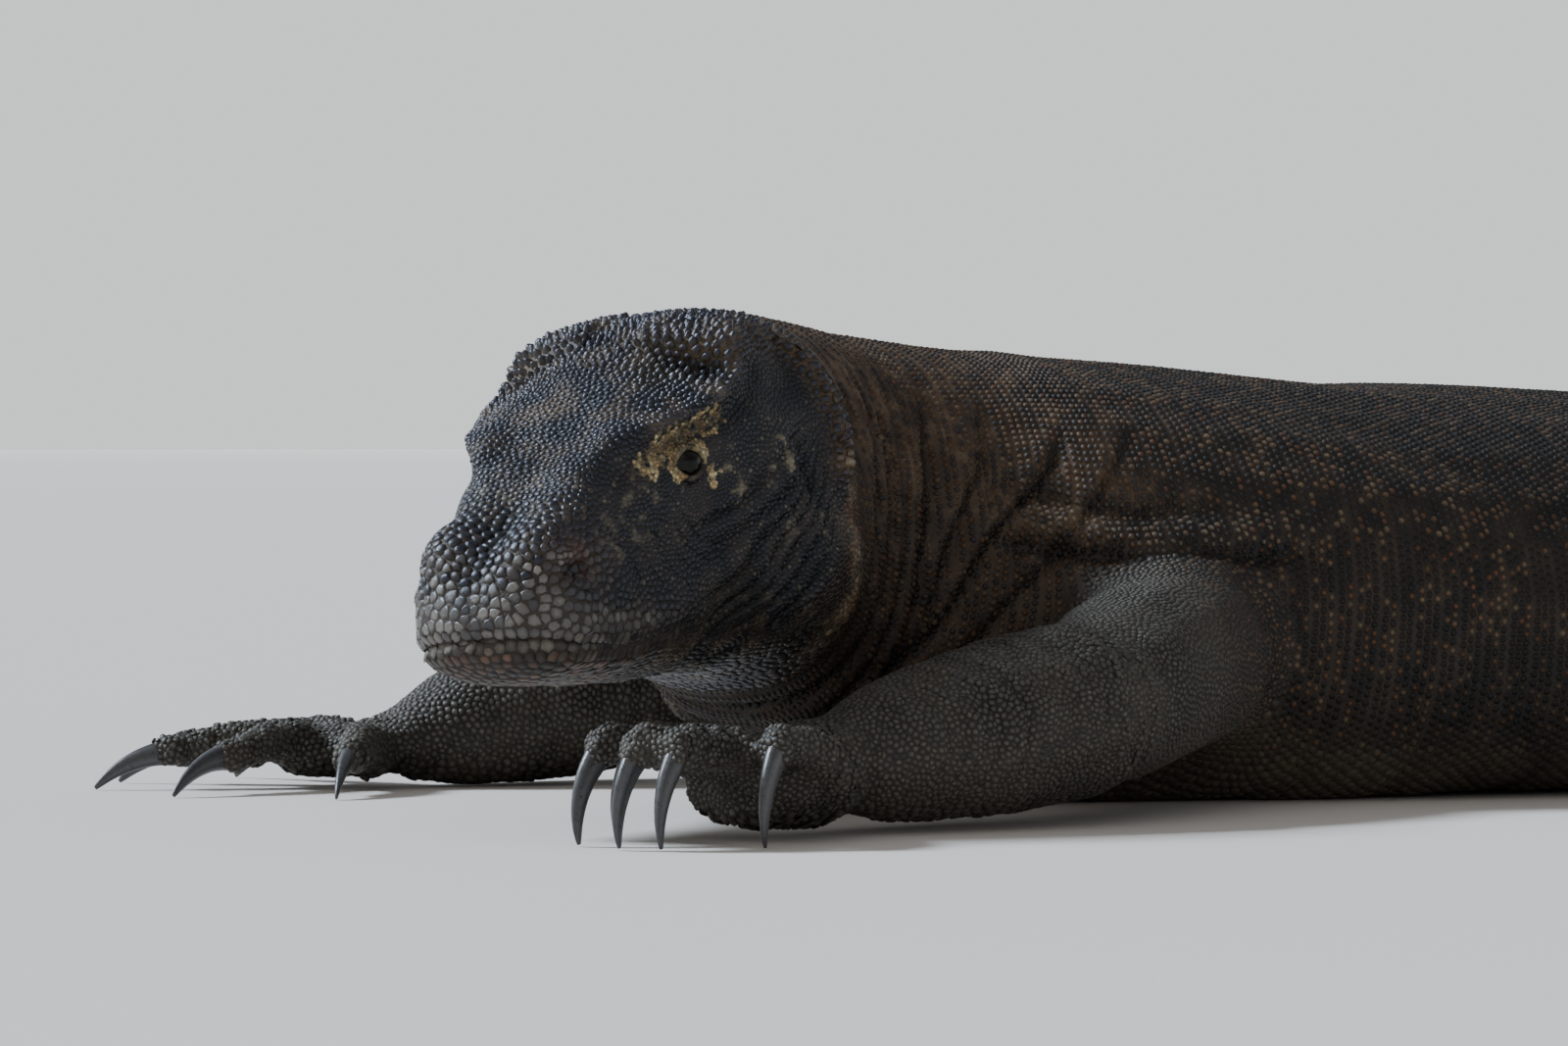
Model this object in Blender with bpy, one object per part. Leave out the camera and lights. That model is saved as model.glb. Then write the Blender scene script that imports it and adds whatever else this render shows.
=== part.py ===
"""A Komodo dragon at rest, life size: flat on its belly, head turned to its left and held low, legs sprawled.

Metres, +Z up, floor at Z = 0. The animal faces -X, so its left side is towards -Y.
The body is one loft along a spine, parted by thin gaps; the limbs are lofted segments fitted to it.
"""

import math

import bmesh
import bpy
import numpy as np
from mathutils import Matrix, Vector

# ---------------------------------------------------------------- driving dimensions
GAP = 0.0003  # clearance between pieces that meet
LENGTH = 2.56  # snout tip to tail tip along the spine
SHOULDER = 0.4165  # distance along the spine from the snout tip
NECK_START, THORAX_START, LOIN_START, TAIL_START = 0.216, 0.375, 0.78, 1.21
TAIL_PARTS = 4
SNOUT_ROUNDING, TAIL_ROUNDING = 0.022, 0.03


def profile(*knots):
    """A smooth curve through (distance, value) knots that never overshoots them."""
    x, y = np.array(knots, float).T
    step = np.diff(x)
    slope = np.diff(y) / step
    product = slope[:-1] * slope[1:]
    total = slope[:-1] + slope[1:]
    inner = np.where(product > 0, 2 * product / np.where(total == 0, 1, total), 0)
    tangent = np.concatenate([[slope[0]], inner, [slope[-1]]])

    def at(distance):
        u = np.clip(distance, x[0], x[-1])
        i = np.clip(np.searchsorted(x, u, "right") - 1, 0, len(x) - 2)
        t = (u - x[i]) / step[i]
        rise = step[i] * (tangent[i] * t * (1 - t) ** 2 + tangent[i + 1] * t * t * (t - 1))
        return y[i] * (1 + 2 * t) * (1 - t) ** 2 + y[i + 1] * t * t * (3 - 2 * t) + rise

    return at


# Every profile runs over the distance behind the snout tip, measured along the spine.
# The spine is the level at which the body is widest: the mouth on the head, low down on the trunk.
YAW = profile((0, 36), (0.21, 36), (0.25, 33), (0.31, 17), (0.37, 5), (0.42, 0), (1.24, 0),
              (1.64, -14), (2.04, -6), (2.34, 12), (LENGTH, 26))  # degrees
ROLL = profile((0, 4), (0.21, 4), (0.37, 0), (LENGTH, 0))  # degrees, left side up
HEIGHT = profile((0, 0.0730), (0.1, 0.0925), (0.2, 0.112), (0.24, 0.1155), (0.30, 0.106), (0.38, 0.088),
                 (0.54, 0.072), (0.84, 0.066), (1.09, 0.064), (1.24, 0.058), (1.54, 0.046), (1.84, 0.033),
                 (2.14, 0.021), (2.39, 0.012), (LENGTH, 0.006))
HALF_WIDTH = profile((0, 0.031), (0.02, 0.035), (0.05, 0.040), (0.08, 0.045), (0.105, 0.050), (0.14, 0.060),
                     (0.175, 0.068), (0.205, 0.068), (0.24, 0.062), (0.28, 0.064), (0.32, 0.080),
                     (0.38, 0.112), (0.46, 0.138), (0.60, 0.168), (0.78, 0.184), (0.94, 0.174),
                     (1.06, 0.146), (1.16, 0.110), (1.24, 0.085), (1.32, 0.071), (1.54, 0.052),
                     (1.84, 0.034), (2.14, 0.0215), (2.39, 0.012), (LENGTH, 0.005))
TOP = profile((0, 0.034), (0.02, 0.041), (0.05, 0.050), (0.075, 0.063), (0.1, 0.0765), (0.14, 0.086),
              (0.18, 0.090), (0.22, 0.090), (0.26, 0.0895), (0.30, 0.0925), (0.34, 0.0985), (0.38, 0.1045),
              (0.54, 0.1065), (0.84, 0.104), (1.06, 0.092), (1.19, 0.078), (1.32, 0.064), (1.54, 0.050),
              (1.84, 0.037), (2.14, 0.025), (2.39, 0.015), (LENGTH, 0.006))
BOTTOM = profile((0, 0.014), (0.02, 0.019), (0.06, 0.027), (0.105, 0.036), (0.15, 0.047), (0.2, 0.060),
                 (0.24, 0.076), (0.30, 0.094), (0.40, 0.092), (0.54, 0.080), (1.14, 0.070), (1.54, 0.050),
                 (2.14, 0.023), (LENGTH, 0.007))
UPPER_FULLNESS = profile((0, 2.2), (0.05, 2.5), (0.08, 3.3), (0.11, 3.6), (0.14, 3.0), (0.18, 2.5), (0.3, 2.1),
                         (0.54, 2.15), (1.04, 2.1), (1.34, 1.8), (LENGTH, 1.8))
LOWER_FULLNESS = profile((0, 2.3), (0.2, 2.3), (0.38, 2.6), (0.64, 3.4), (1.04, 3.4), (1.34, 2.4), (LENGTH, 2.2))

# Forms of the head that the loft alone lacks: where their middle is (distance behind the snout tip, to
# the side, above the mouth), how far they spread that way, and how far they stand out. Both sides have them.
HEAD_FORMS = {
    "brow ridge": ((0.096, 0.044, 0.074), (0.020, 0.010, 0.010), 0.0050),
    "eye hollow": ((0.114, 0.055, 0.046), (0.015, 0.014, 0.012), -0.0060),
    "cheek hollow": ((0.070, 0.046, 0.034), (0.018, 0.014, 0.014), -0.0040),
    "nostril swelling": ((0.024, 0.027, 0.034), (0.014, 0.012, 0.012), 0.0045),
    "forehead dip": ((0.086, 0.000, 0.072), (0.026, 0.022, 0.014), -0.0040),
    "snout dip": ((0.030, 0.000, 0.046), (0.022, 0.010, 0.012), -0.0030),
    "temple muscle": ((0.160, 0.048, 0.066), (0.028, 0.018, 0.018), 0.0050),
    "jowl": ((0.172, 0.070, -0.010), (0.030, 0.020, 0.026), 0.0050),
    "upper lip": ((0.050, 0.044, 0.002), (0.040, 0.016, 0.009), 0.0022),
}

# The closed mouth in side view, from in front of the snout to the corner, then down through the throat.
MOUTH_LINE = ((-0.03, 0.005), (0.0, 0.004), (0.02, -0.004), (0.045, -0.011), (0.07, -0.014), (0.095, -0.012),
              (0.115, -0.004), (0.130, 0.006))
JAW_BACK = ((0.144, -0.03), (0.154, -0.12))

EYE_PLACE = (0.115, 0.0430, 0.0465)  # behind the snout tip, to the side, above the mouth
EYE_RADIUS = 0.0088

HEAD_RINGS, HEAD_SIDES = 25, 28
NECK_RINGS, TRUNK_RINGS, TRUNK_SIDES = 8, 8, 28
TAIL_RINGS, TAIL_SIDES = 6, 16
LIMB_RINGS, LIMB_SIDES = 8, 12
PALM_SIDES = 12
DIGIT_RINGS, DIGIT_SIDES, DIGIT_ARCH = 4, 8, 0.007
CLAW_RINGS, CLAW_SIDES = 6, 6

# Each limb: its joints, the way its paw points, how far each digit turns inwards from that, how thick the
# palm is at the knuckles (half), and how steeply the claws drop at their roots and at their tips, in degrees.
LIMBS = {
    "left_fore": {
        "joints": ((0.030, -0.105, 0.070), (-0.088, -0.190, 0.046), (-0.222, -0.214, 0.027)),
        "heading": 195, "spread": (10, 5, -7, -9, -20), "palm_height": 0.019, "claws": (40, 102),
        "side": 1, "kind": "fore",
    },
    "right_fore": {
        "joints": ((0.030, 0.105, 0.070), (-0.085, 0.175, 0.046), (-0.200, 0.181, 0.021)),
        "heading": 152, "spread": (82, 52, 14, -14, -44), "palm_height": 0.0125, "claws": (0, 46),
        "side": -1, "kind": "fore",
    },
    "left_hind": {
        "joints": ((0.74, -0.085, 0.085), (0.585, -0.275, 0.060), (0.735, -0.335, 0.030)),
        "heading": 232, "spread": (20, 12, 2, -11, -46), "palm_height": 0.017, "claws": (25, 85),
        "side": 1, "kind": "hind",
    },
    "right_hind": {
        "joints": ((0.74, 0.085, 0.085), (0.60, 0.280, 0.060), (0.760, 0.330, 0.030)),
        "heading": 128, "spread": (20, 12, 2, -11, -46), "palm_height": 0.017, "claws": (25, 85),
        "side": -1, "kind": "hind",
    },
}
# What the limbs of a pair share. A segment's sizes are its half-widths at its start, middle and end.
KINDS = {
    "fore": {
        "names": ("upper_arm", "forearm", "hand"),
        "upper": (0.040, 0.042, 0.039), "lower": (0.042, 0.037, 0.025),
        "palm": (0.058, 0.030),  # length, half-width
        "reach": (0.044, 0.054, 0.056, 0.054, 0.038), "digit_radii": (0.0110, 0.0085), "claw": 0.040,
    },
    "hind": {
        "names": ("thigh", "shank", "foot"),
        "upper": (0.066, 0.058, 0.046), "lower": (0.048, 0.041, 0.027),
        "palm": (0.082, 0.034),
        "reach": (0.040, 0.058, 0.072, 0.082, 0.050), "digit_radii": (0.0105, 0.0080), "claw": 0.036,
    },
}
KNUCKLES = ((0.85, -0.028), (0.46, -0.003), (0.04, 0), (-0.38, -0.005), (-0.85, -0.020))  # inwards, onwards
CLAW_RADIUS, CLAW_TIP = 0.0056, 0.0009

COLOURS = {
    "head": ((0.075, 0.068, 0.066), 0.55), "jaw": ((0.19, 0.155, 0.125), 0.6),
    "body": ((0.070, 0.050, 0.038), 0.65), "limb": ((0.060, 0.052, 0.046), 0.65),
    "claw": ((0.050, 0.050, 0.055), 0.3), "eye": ((0.020, 0.015, 0.012), 0.08),
}


# ---------------------------------------------------------------- scene
def clear_scene():
    for obj in list(bpy.data.objects):
        bpy.data.objects.remove(obj)


def new_collection(name):
    collection = bpy.data.collections.new(name)
    bpy.context.scene.collection.children.link(collection)
    return collection


def make_materials():
    made = {}
    for name, (colour, roughness) in COLOURS.items():
        material = bpy.data.materials.new(name)
        material.use_nodes = True
        shader = material.node_tree.nodes["Principled BSDF"]
        shader.inputs["Base Color"].default_value = (*colour, 1)
        shader.inputs["Roughness"].default_value = roughness
        shader.inputs["Metallic"].default_value = 0
        made[name] = material
    return made


clear_scene()
PARTS = new_collection("komodo_dragon")
CUTTERS = new_collection("cutters")
MATERIALS = make_materials()
ROOT = bpy.data.objects.new("komodo_dragon_origin", None)
PARTS.objects.link(ROOT)


def add_object(name, mesh, material, helper=False):
    """A part of the model, or a hidden helper that only cuts or joins."""
    obj = bpy.data.objects.new(name, mesh)
    (CUTTERS if helper else PARTS).objects.link(obj)
    obj.parent = ROOT
    if helper:
        obj.hide_render = True
        obj.display_type = "WIRE"
    if not mesh.materials:
        mesh.materials.append(MATERIALS[material])
    return obj


def combine(obj, other, operation):
    modifier = obj.modifiers.new(f"{operation.lower()} {other.name}", "BOOLEAN")
    modifier.object = other
    modifier.operation = operation
    modifier.solver = "EXACT"


def loft_mesh(name, rings):
    """A closed mesh through rings of points, each ring turning the same way, with flat ends."""
    bm = bmesh.new()
    rows = [[bm.verts.new(point) for point in ring] for ring in rings]
    for near, far in zip(rows, rows[1:]):
        for k in range(len(near)):
            after = (k + 1) % len(near)
            bm.faces.new((near[k], far[k], far[after], near[after]))
    bm.faces.new(rows[0])
    bm.faces.new(reversed(rows[-1]))
    bmesh.ops.recalc_face_normals(bm, faces=bm.faces)
    mesh = bpy.data.meshes.new(name)
    bm.to_mesh(mesh)
    bm.free()
    mesh.shade_smooth()
    mesh.set_sharp_from_angle(angle=math.radians(50))
    return mesh


# ---------------------------------------------------------------- the body's loft
def trace_spine():
    """Places along the spine every few millimetres, with the shoulder above the origin."""
    u = np.linspace(0, LENGTH, 800)
    pitch = np.arcsin(np.gradient(HEIGHT(u), u))
    yaw = np.radians(YAW(u))
    step = np.stack([np.cos(yaw), np.sin(yaw)], 1) * np.cos(pitch)[:, None]
    path = np.zeros((len(u), 2))
    path[1:] = np.cumsum((step[1:] + step[:-1]) / 2 * np.diff(u)[:, None], axis=0)
    for axis in (0, 1):
        path[:, axis] -= np.interp(SHOULDER, u, path[:, axis])
    return u, path, pitch


SPINE_U, SPINE_PATH, SPINE_PITCH = trace_spine()


def spine_frame(u):
    """(place, left, up, back) of the spine at a distance behind the snout tip."""
    place = np.array([np.interp(u, SPINE_U, SPINE_PATH[:, 0]), np.interp(u, SPINE_U, SPINE_PATH[:, 1]), HEIGHT(u)])
    yaw, pitch, roll = math.radians(YAW(u)), np.interp(u, SPINE_U, SPINE_PITCH), math.radians(ROLL(u))
    back = np.array([math.cos(yaw) * math.cos(pitch), math.sin(yaw) * math.cos(pitch), math.sin(pitch)])
    level = np.array([math.sin(yaw), -math.cos(yaw), 0.0])
    upright = np.cross(level, back)
    left = level * math.cos(roll) + upright * math.sin(roll)
    up = upright * math.cos(roll) - level * math.sin(roll)
    return place, left, up, back


def rounding(u):
    """How much of its full section the body has at u, so that snout and tail end rounded."""
    nose = np.clip(u / SNOUT_ROUNDING, 0, 1)
    tail = np.clip((LENGTH - u) / TAIL_ROUNDING, 0, 1)
    return math.sqrt(1 - (1 - nose) ** 2) * math.sqrt(1 - (1 - tail) ** 2)


def head_relief(u, across, above):
    """How far the head's own forms stand out at a point of its section."""
    relief = 0.0
    for place, spread, height in HEAD_FORMS.values():
        offset = ((u - place[0]) / spread[0], (abs(across) - place[1]) / spread[1], (above - place[2]) / spread[2])
        relief += height * math.exp(-0.5 * sum(d * d for d in offset))
    return relief


def body_ring(u, sides, swell=0.0):
    """The body's outline across the spine at u, as points in space. swell pushes it outwards."""
    place, left, up, _ = spine_frame(u)
    scale = rounding(u)
    ring = []
    for k in range(sides):
        angle = 2 * math.pi * (k + 0.5) / sides
        c, s = math.cos(angle), math.sin(angle)
        fullness = UPPER_FULLNESS(u) if s > 0 else LOWER_FULLNESS(u)
        across = HALF_WIDTH(u) * math.copysign(abs(c) ** (2 / fullness), c) * scale
        above = (TOP(u) if s > 0 else BOTTOM(u)) * math.copysign(abs(s) ** (2 / fullness), s) * scale
        out = np.array([across, above]) / max(math.hypot(across, above), 1e-6)
        stand = swell + (head_relief(u, across, above) if u < NECK_START + 0.05 else 0)
        point = place + left * (across + out[0] * stand) + up * (above + out[1] * stand)
        point = point + up * max(-swell - point[2], 0) / up[2]
        ring.append(point)
    return ring


def ring_distances(start, end, rings):
    """Ring places of one length of the body, which a gap parts from its neighbours."""
    return np.linspace(start + GAP / 2, end - GAP / 2, rings)


NECK_U = ring_distances(NECK_START, THORAX_START, NECK_RINGS)
THORAX_U = ring_distances(THORAX_START, LOIN_START, TRUNK_RINGS)
LOIN_U = ring_distances(LOIN_START, TAIL_START, TRUNK_RINGS)
TAIL_ENDS = np.linspace(TAIL_START, LENGTH, TAIL_PARTS + 1)
TAIL_U = [ring_distances(start, end, TAIL_RINGS) for start, end in zip(TAIL_ENDS, TAIL_ENDS[1:])]


def body_length(name, distances, sides):
    return add_object(name, loft_mesh(name, [body_ring(u, sides) for u in distances]), "body")


def head_distances():
    """Ring places of the head, closer together where the snout rounds off."""
    nose = SNOUT_ROUNDING * (1 - np.cos(np.linspace(0.12, math.pi / 2, 6)))
    rest = np.linspace(SNOUT_ROUNDING, NECK_START - GAP / 2, HEAD_RINGS - 5)
    return np.concatenate([nose, rest[1:]])


def head_point(u, across, above):
    """A point given in the head's own measures, as a point in space."""
    place, left, up, back = spine_frame(0.1)
    return place + back * (u - 0.1) + left * across + up * above


def jaw_block(name, inset):
    """What lies below the closed mouth, as a thick slab across the head, inset by so much."""
    line = [(u - inset, z - inset) for u, z in MOUTH_LINE + JAW_BACK] + [(-0.03, -0.12)]
    rings = [[head_point(u, across, above) for u, above in line] for across in (-0.12, 0.12)]
    return add_object(name, loft_mesh(name, rings), "jaw", helper=True)


def make_head():
    rings = [body_ring(u, HEAD_SIDES) for u in head_distances()]
    head = add_object("head", loft_mesh("head", rings), "head")
    jaw = add_object("lower_jaw", loft_mesh("lower_jaw", rings), "jaw")
    combine(head, jaw_block("jaw_space", 0), "DIFFERENCE")
    combine(jaw, jaw_block("jaw_shape", GAP * 1.2), "INTERSECT")
    for side, word in ((1, "left"), (-1, "right")):
        place = Vector(head_point(EYE_PLACE[0], side * EYE_PLACE[1], EYE_PLACE[2]))
        eye = add_object(f"{word}_eye", ball_mesh(f"{word}_eye", EYE_RADIUS, 12, 8), "eye")
        eye.location = place
        socket = add_object(f"{word}_socket", ball_mesh(f"{word}_socket", EYE_RADIUS + GAP * 1.3, 12, 8), "eye", True)
        socket.location = place
        combine(head, socket, "DIFFERENCE")


def ball_mesh(name, radius, segments, rings):
    bm = bmesh.new()
    bmesh.ops.create_uvsphere(bm, u_segments=segments, v_segments=rings, radius=radius)
    mesh = bpy.data.meshes.new(name)
    bm.to_mesh(mesh)
    bm.free()
    mesh.shade_smooth()
    return mesh


def make_body():
    body_length("neck", NECK_U, TRUNK_SIDES)
    body_length("thorax", THORAX_U, TRUNK_SIDES)
    body_length("loin", LOIN_U, TRUNK_SIDES)
    for number, distances in enumerate(TAIL_U, 1):
        body_length(f"tail_{number}", distances, TAIL_SIDES)


def make_body_cutter():
    """The neck, the trunk and the tail's root as one, larger by the gap, which the limbs are cut back to."""
    distances = np.concatenate([NECK_U, THORAX_U, LOIN_U, TAIL_U[0]])
    mesh = loft_mesh("body_space", [body_ring(u, TRUNK_SIDES, swell=2.5 * GAP) for u in distances])
    return add_object("body_space", mesh, "body", helper=True)


# ---------------------------------------------------------------- limbs
def tube_rings(path, half_widths, half_heights, sides, floor=0.0, upright=None, side=None):
    """Elliptic rings square to a path of points; nothing reaches below the floor. One ring may be upright."""
    path = [Vector(p) for p in path]
    rings = []
    for i, place in enumerate(path):
        along = (path[min(i + 1, len(path) - 1)] - path[max(i - 1, 0)]).normalized()
        if i == upright:
            along = Vector((along.x, along.y, 0)).normalized()
        level = side or along.cross(Vector((0, 0, 1))).normalized()
        up = level.cross(along)
        ring = []
        for k in range(sides):
            angle = 2 * math.pi * (k + 0.5) / sides
            point = place + level * (half_widths[i] * math.cos(angle)) + up * (half_heights[i] * math.sin(angle))
            ring.append(point if point.z > floor else point + up * (floor - point.z) / up.z)
        rings.append(ring)
    return rings


def segment_rings(start, end, sizes, swell=0.0):
    """A limb segment from joint to joint, rounded past both, as thick as sizes say at start, middle and end."""
    start, end = Vector(start), Vector(end)
    along = (end - start).normalized()
    thickness = profile((0, sizes[0]), (0.5, sizes[1]), (1, sizes[2]))
    first, last = start - along * sizes[0] * 0.75, end + along * sizes[2] * 0.75
    path, widths, heights = [], [], []
    for i in range(LIMB_RINGS):
        share = 0.5 - 0.5 * math.cos(math.pi * (0.06 + 0.88 * i / (LIMB_RINGS - 1)))
        place = first.lerp(last, share)
        along_share = (place - start).dot(along) / (end - start).length
        cap = math.sqrt(max(1 - abs(2 * share - 1) ** 5, 0.0))
        size = float(thickness(along_share)) * cap + swell
        path.append(place)
        widths.append(size)
        heights.append(size * 0.92)
    path[0] -= along * swell
    path[-1] += along * swell
    return tube_rings(path, widths, heights, LIMB_SIDES, -swell)


def claw_drop(length, slopes):
    """How far below its root a claw's tip lies."""
    start, end = (math.radians(slope) for slope in slopes)
    return length * (math.cos(start) - math.cos(end)) / (end - start)


def claw_mesh(name, length, slopes):
    """A curved claw from its root at the origin, forward along +X and down. Its section is deeper than wide."""
    path = [Vector((0, 0, 0))]
    widths, heights = [], []
    for i in range(CLAW_RINGS):
        share = i / (CLAW_RINGS - 1)
        radius = CLAW_RADIUS * (1 - share) ** 0.75 + CLAW_TIP
        widths.append(radius * 0.72)
        heights.append(radius)
        pitch = math.radians(slopes[0] + (slopes[1] - slopes[0]) * (share + 0.5 / (CLAW_RINGS - 1)))
        path.append(path[-1] + Vector((math.cos(pitch), 0, -math.sin(pitch))) * length / (CLAW_RINGS - 1))
    sideways = Vector((0, -1, 0))
    return loft_mesh(name, tube_rings(path[:-1], widths, heights, CLAW_SIDES, -1, upright=0, side=sideways))


def palm_mesh(name, wrist, forward, kind, half_height):
    """From just inside the wrist to the knuckles, sinking from the wrist's height to its own."""
    length, half_width = kind["palm"]
    shares = (0.0, 0.25, 0.5, 0.75, 1.0)
    path = [wrist + forward * length * (share - 0.05) for share in shares]
    for point, share in zip(path, shares):
        point.z = wrist.z + (half_height - wrist.z) * share
    widths = [half_width * w for w in (0.74, 0.84, 0.96, 1.0, 0.72)]
    heights = [half_height * h for h in (1.1, 1.1, 1.0, 0.92, 0.62)]
    return loft_mesh(name, tube_rings(path, widths, heights, PALM_SIDES))


def digit_mesh(start, end, radii):
    """A digit from inside the palm to its flat end, arched a little upwards."""
    path = []
    for i in range(DIGIT_RINGS):
        share = i / (DIGIT_RINGS - 1)
        point = start.lerp(end, share)
        point.z += 4 * share * (1 - share) * DIGIT_ARCH
        path.append(point)
    thickness = np.linspace(*radii, DIGIT_RINGS)
    return loft_mesh("digit", tube_rings(path, thickness, thickness, DIGIT_SIDES, upright=DIGIT_RINGS - 1))


def make_paw(limb, setting, kind):
    """The palm with its digits as one piece, and a claw just off each digit's end."""
    name = f"{limb.split('_')[0]}_{kind['names'][2]}"
    heading, side, half_height = math.radians(setting["heading"]), setting["side"], setting["palm_height"]
    length, half_width = kind["palm"]
    forward = Vector((math.cos(heading), math.sin(heading), 0))
    inward = Vector((-math.sin(heading), math.cos(heading), 0)) * -side
    wrist = Vector(setting["joints"][2])
    palm = add_object(name, palm_mesh(name, wrist, forward, kind, half_height), "limb")
    claw = claw_mesh(f"{name}_claw", kind["claw"], setting["claws"])
    knuckles = wrist + forward * length * 0.80
    for number, (spread, reach, place) in enumerate(zip(setting["spread"], kind["reach"], KNUCKLES), 1):
        turn = heading - side * math.radians(spread)
        along = Vector((math.cos(turn), math.sin(turn), 0))
        start = knuckles + inward * half_width * place[0] + forward * place[1] - along * 0.012
        end = start + along * (reach + 0.012)
        start.z = half_height * 1.05
        end.z = claw_drop(kind["claw"], setting["claws"]) + CLAW_TIP
        digit = add_object(f"{name}_digit_{number}", digit_mesh(start, end, kind["digit_radii"]), "limb", helper=True)
        combine(palm, digit, "UNION")
        nail = add_object(f"{name}_claw_{number}", claw, "claw")
        nail.location = end + along * 4 * GAP
        nail.rotation_euler = (0, 0, turn)
    return palm


def make_limb(name, setting, body_space):
    kind = KINDS[setting["kind"]]
    word = name.split("_")[0]
    shoulder, elbow, wrist = setting["joints"]
    upper_mesh = loft_mesh("upper", segment_rings(shoulder, elbow, kind["upper"]))
    lower_mesh = loft_mesh("lower", segment_rings(elbow, wrist, kind["lower"]))
    space_mesh = loft_mesh("space", segment_rings(elbow, wrist, kind["lower"], 2 * GAP))
    upper = add_object(f"{word}_{kind['names'][0]}", upper_mesh, "limb")
    lower = add_object(f"{word}_{kind['names'][1]}", lower_mesh, "limb")
    lower_space = add_object(f"{name}_lower_space", space_mesh, "limb", helper=True)
    palm = make_paw(name, setting, kind)
    combine(upper, lower_space, "DIFFERENCE")
    combine(upper, body_space, "DIFFERENCE")
    combine(palm, lower_space, "DIFFERENCE")
    combine(lower, body_space, "DIFFERENCE")


def make_limbs():
    body_space = make_body_cutter()
    for name, setting in LIMBS.items():
        make_limb(name, setting, body_space)


def centre_on_origin():
    """Moves the model so that the origin is the bottom centre of its box."""
    bpy.context.view_layer.update()
    graph = bpy.context.evaluated_depsgraph_get()
    corners = []
    for obj in PARTS.objects:
        if obj.type == "MESH":
            shown = obj.evaluated_get(graph)
            corners += [shown.matrix_world @ Vector(corner) for corner in shown.bound_box]
    low = Vector(map(min, *corners))
    high = Vector(map(max, *corners))
    ROOT.location = (-(low.x + high.x) / 2, -(low.y + high.y) / 2, -low.z)


make_head()
make_body()
make_limbs()
centre_on_origin()
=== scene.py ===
import math

import bmesh
import bpy
import numpy as np
from mathutils import Matrix, Vector, bvhtree, kdtree
from mathutils.geometry import barycentric_transform


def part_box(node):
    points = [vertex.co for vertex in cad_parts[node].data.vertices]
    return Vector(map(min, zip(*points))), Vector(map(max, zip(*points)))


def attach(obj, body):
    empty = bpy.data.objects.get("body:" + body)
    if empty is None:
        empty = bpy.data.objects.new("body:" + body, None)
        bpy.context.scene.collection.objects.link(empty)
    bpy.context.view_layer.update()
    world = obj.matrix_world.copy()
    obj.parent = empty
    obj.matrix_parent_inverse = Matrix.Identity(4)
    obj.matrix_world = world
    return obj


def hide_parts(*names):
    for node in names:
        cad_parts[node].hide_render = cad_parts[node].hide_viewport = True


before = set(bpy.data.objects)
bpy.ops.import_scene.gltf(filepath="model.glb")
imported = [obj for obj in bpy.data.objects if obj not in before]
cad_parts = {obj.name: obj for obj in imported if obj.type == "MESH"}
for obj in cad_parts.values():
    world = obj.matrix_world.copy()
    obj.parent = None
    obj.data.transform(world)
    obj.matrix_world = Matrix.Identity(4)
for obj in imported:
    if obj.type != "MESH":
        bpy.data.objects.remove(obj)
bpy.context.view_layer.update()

SIDES = ("left", "right")
FAR = 9.0                 # metres, further than anything on the model


# ---------------------------------------------------------------- small numeric helpers
def profile(*knots):
    """A smooth curve through (distance, value) knots that never overshoots them."""
    x, y = np.array(knots, float).T
    step = np.diff(x)
    slope = np.diff(y) / step
    product = slope[:-1] * slope[1:]
    total = slope[:-1] + slope[1:]
    inner = np.where(product > 0, 2 * product / np.where(total == 0, 1, total), 0)
    tangent = np.concatenate([[slope[0]], inner, [slope[-1]]])

    def at(distance):
        u = np.clip(distance, x[0], x[-1])
        i = np.clip(np.searchsorted(x, u, "right") - 1, 0, len(x) - 2)
        t = (u - x[i]) / step[i]
        rise = step[i] * (tangent[i] * t * (1 - t) ** 2 + tangent[i + 1] * t * t * (t - 1))
        return y[i] * (1 + 2 * t) * (1 - t) ** 2 + y[i + 1] * t * t * (3 - 2 * t) + rise

    return at


def dot(a, b):
    return np.einsum("...i,...i", a, b)


def unit(a):
    return a / np.maximum(np.linalg.norm(a, axis=-1, keepdims=True), 1e-9)


def near(value, centre, spread):
    """1 at the centre, falling off smoothly over the spread."""
    return np.exp(-0.5 * ((value - centre) / spread) ** 2)


def spot(points, centre, spread):
    """1 at the centre, falling off over the spreads of the three measures."""
    return np.exp(-0.5 * (((points - np.array(centre)) / np.array(spread)) ** 2).sum(1))


def ease(value, start, end):
    """0 before start, 1 after end and smooth between."""
    t = np.clip((value - start) / (end - start), 0, 1)
    return t * t * (3 - 2 * t)


WAVES, WAVE_REACH = 9, 3.2         # how many waves the noise adds up, and which sum counts as 1


def waves(points, wavelength, seed):
    """Smooth noise from -1 to 1 with that wavelength, in metres."""
    rng = np.random.default_rng(seed)
    total = 0
    for _ in range(WAVES):
        direction = rng.normal(size=3)
        direction *= 2 * math.pi / wavelength / np.linalg.norm(direction) * rng.uniform(0.7, 1.5)
        total = total + np.sin(points @ direction + rng.uniform(0, 2 * math.pi))
    return np.clip(total / WAVE_REACH, -1, 1)


def patches(points):
    """The same broad, patchy and small noise wherever the markings vary."""
    return waves(points, 0.055, 71), waves(points, 0.022, 72), waves(points, 0.0085, 73)


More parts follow.
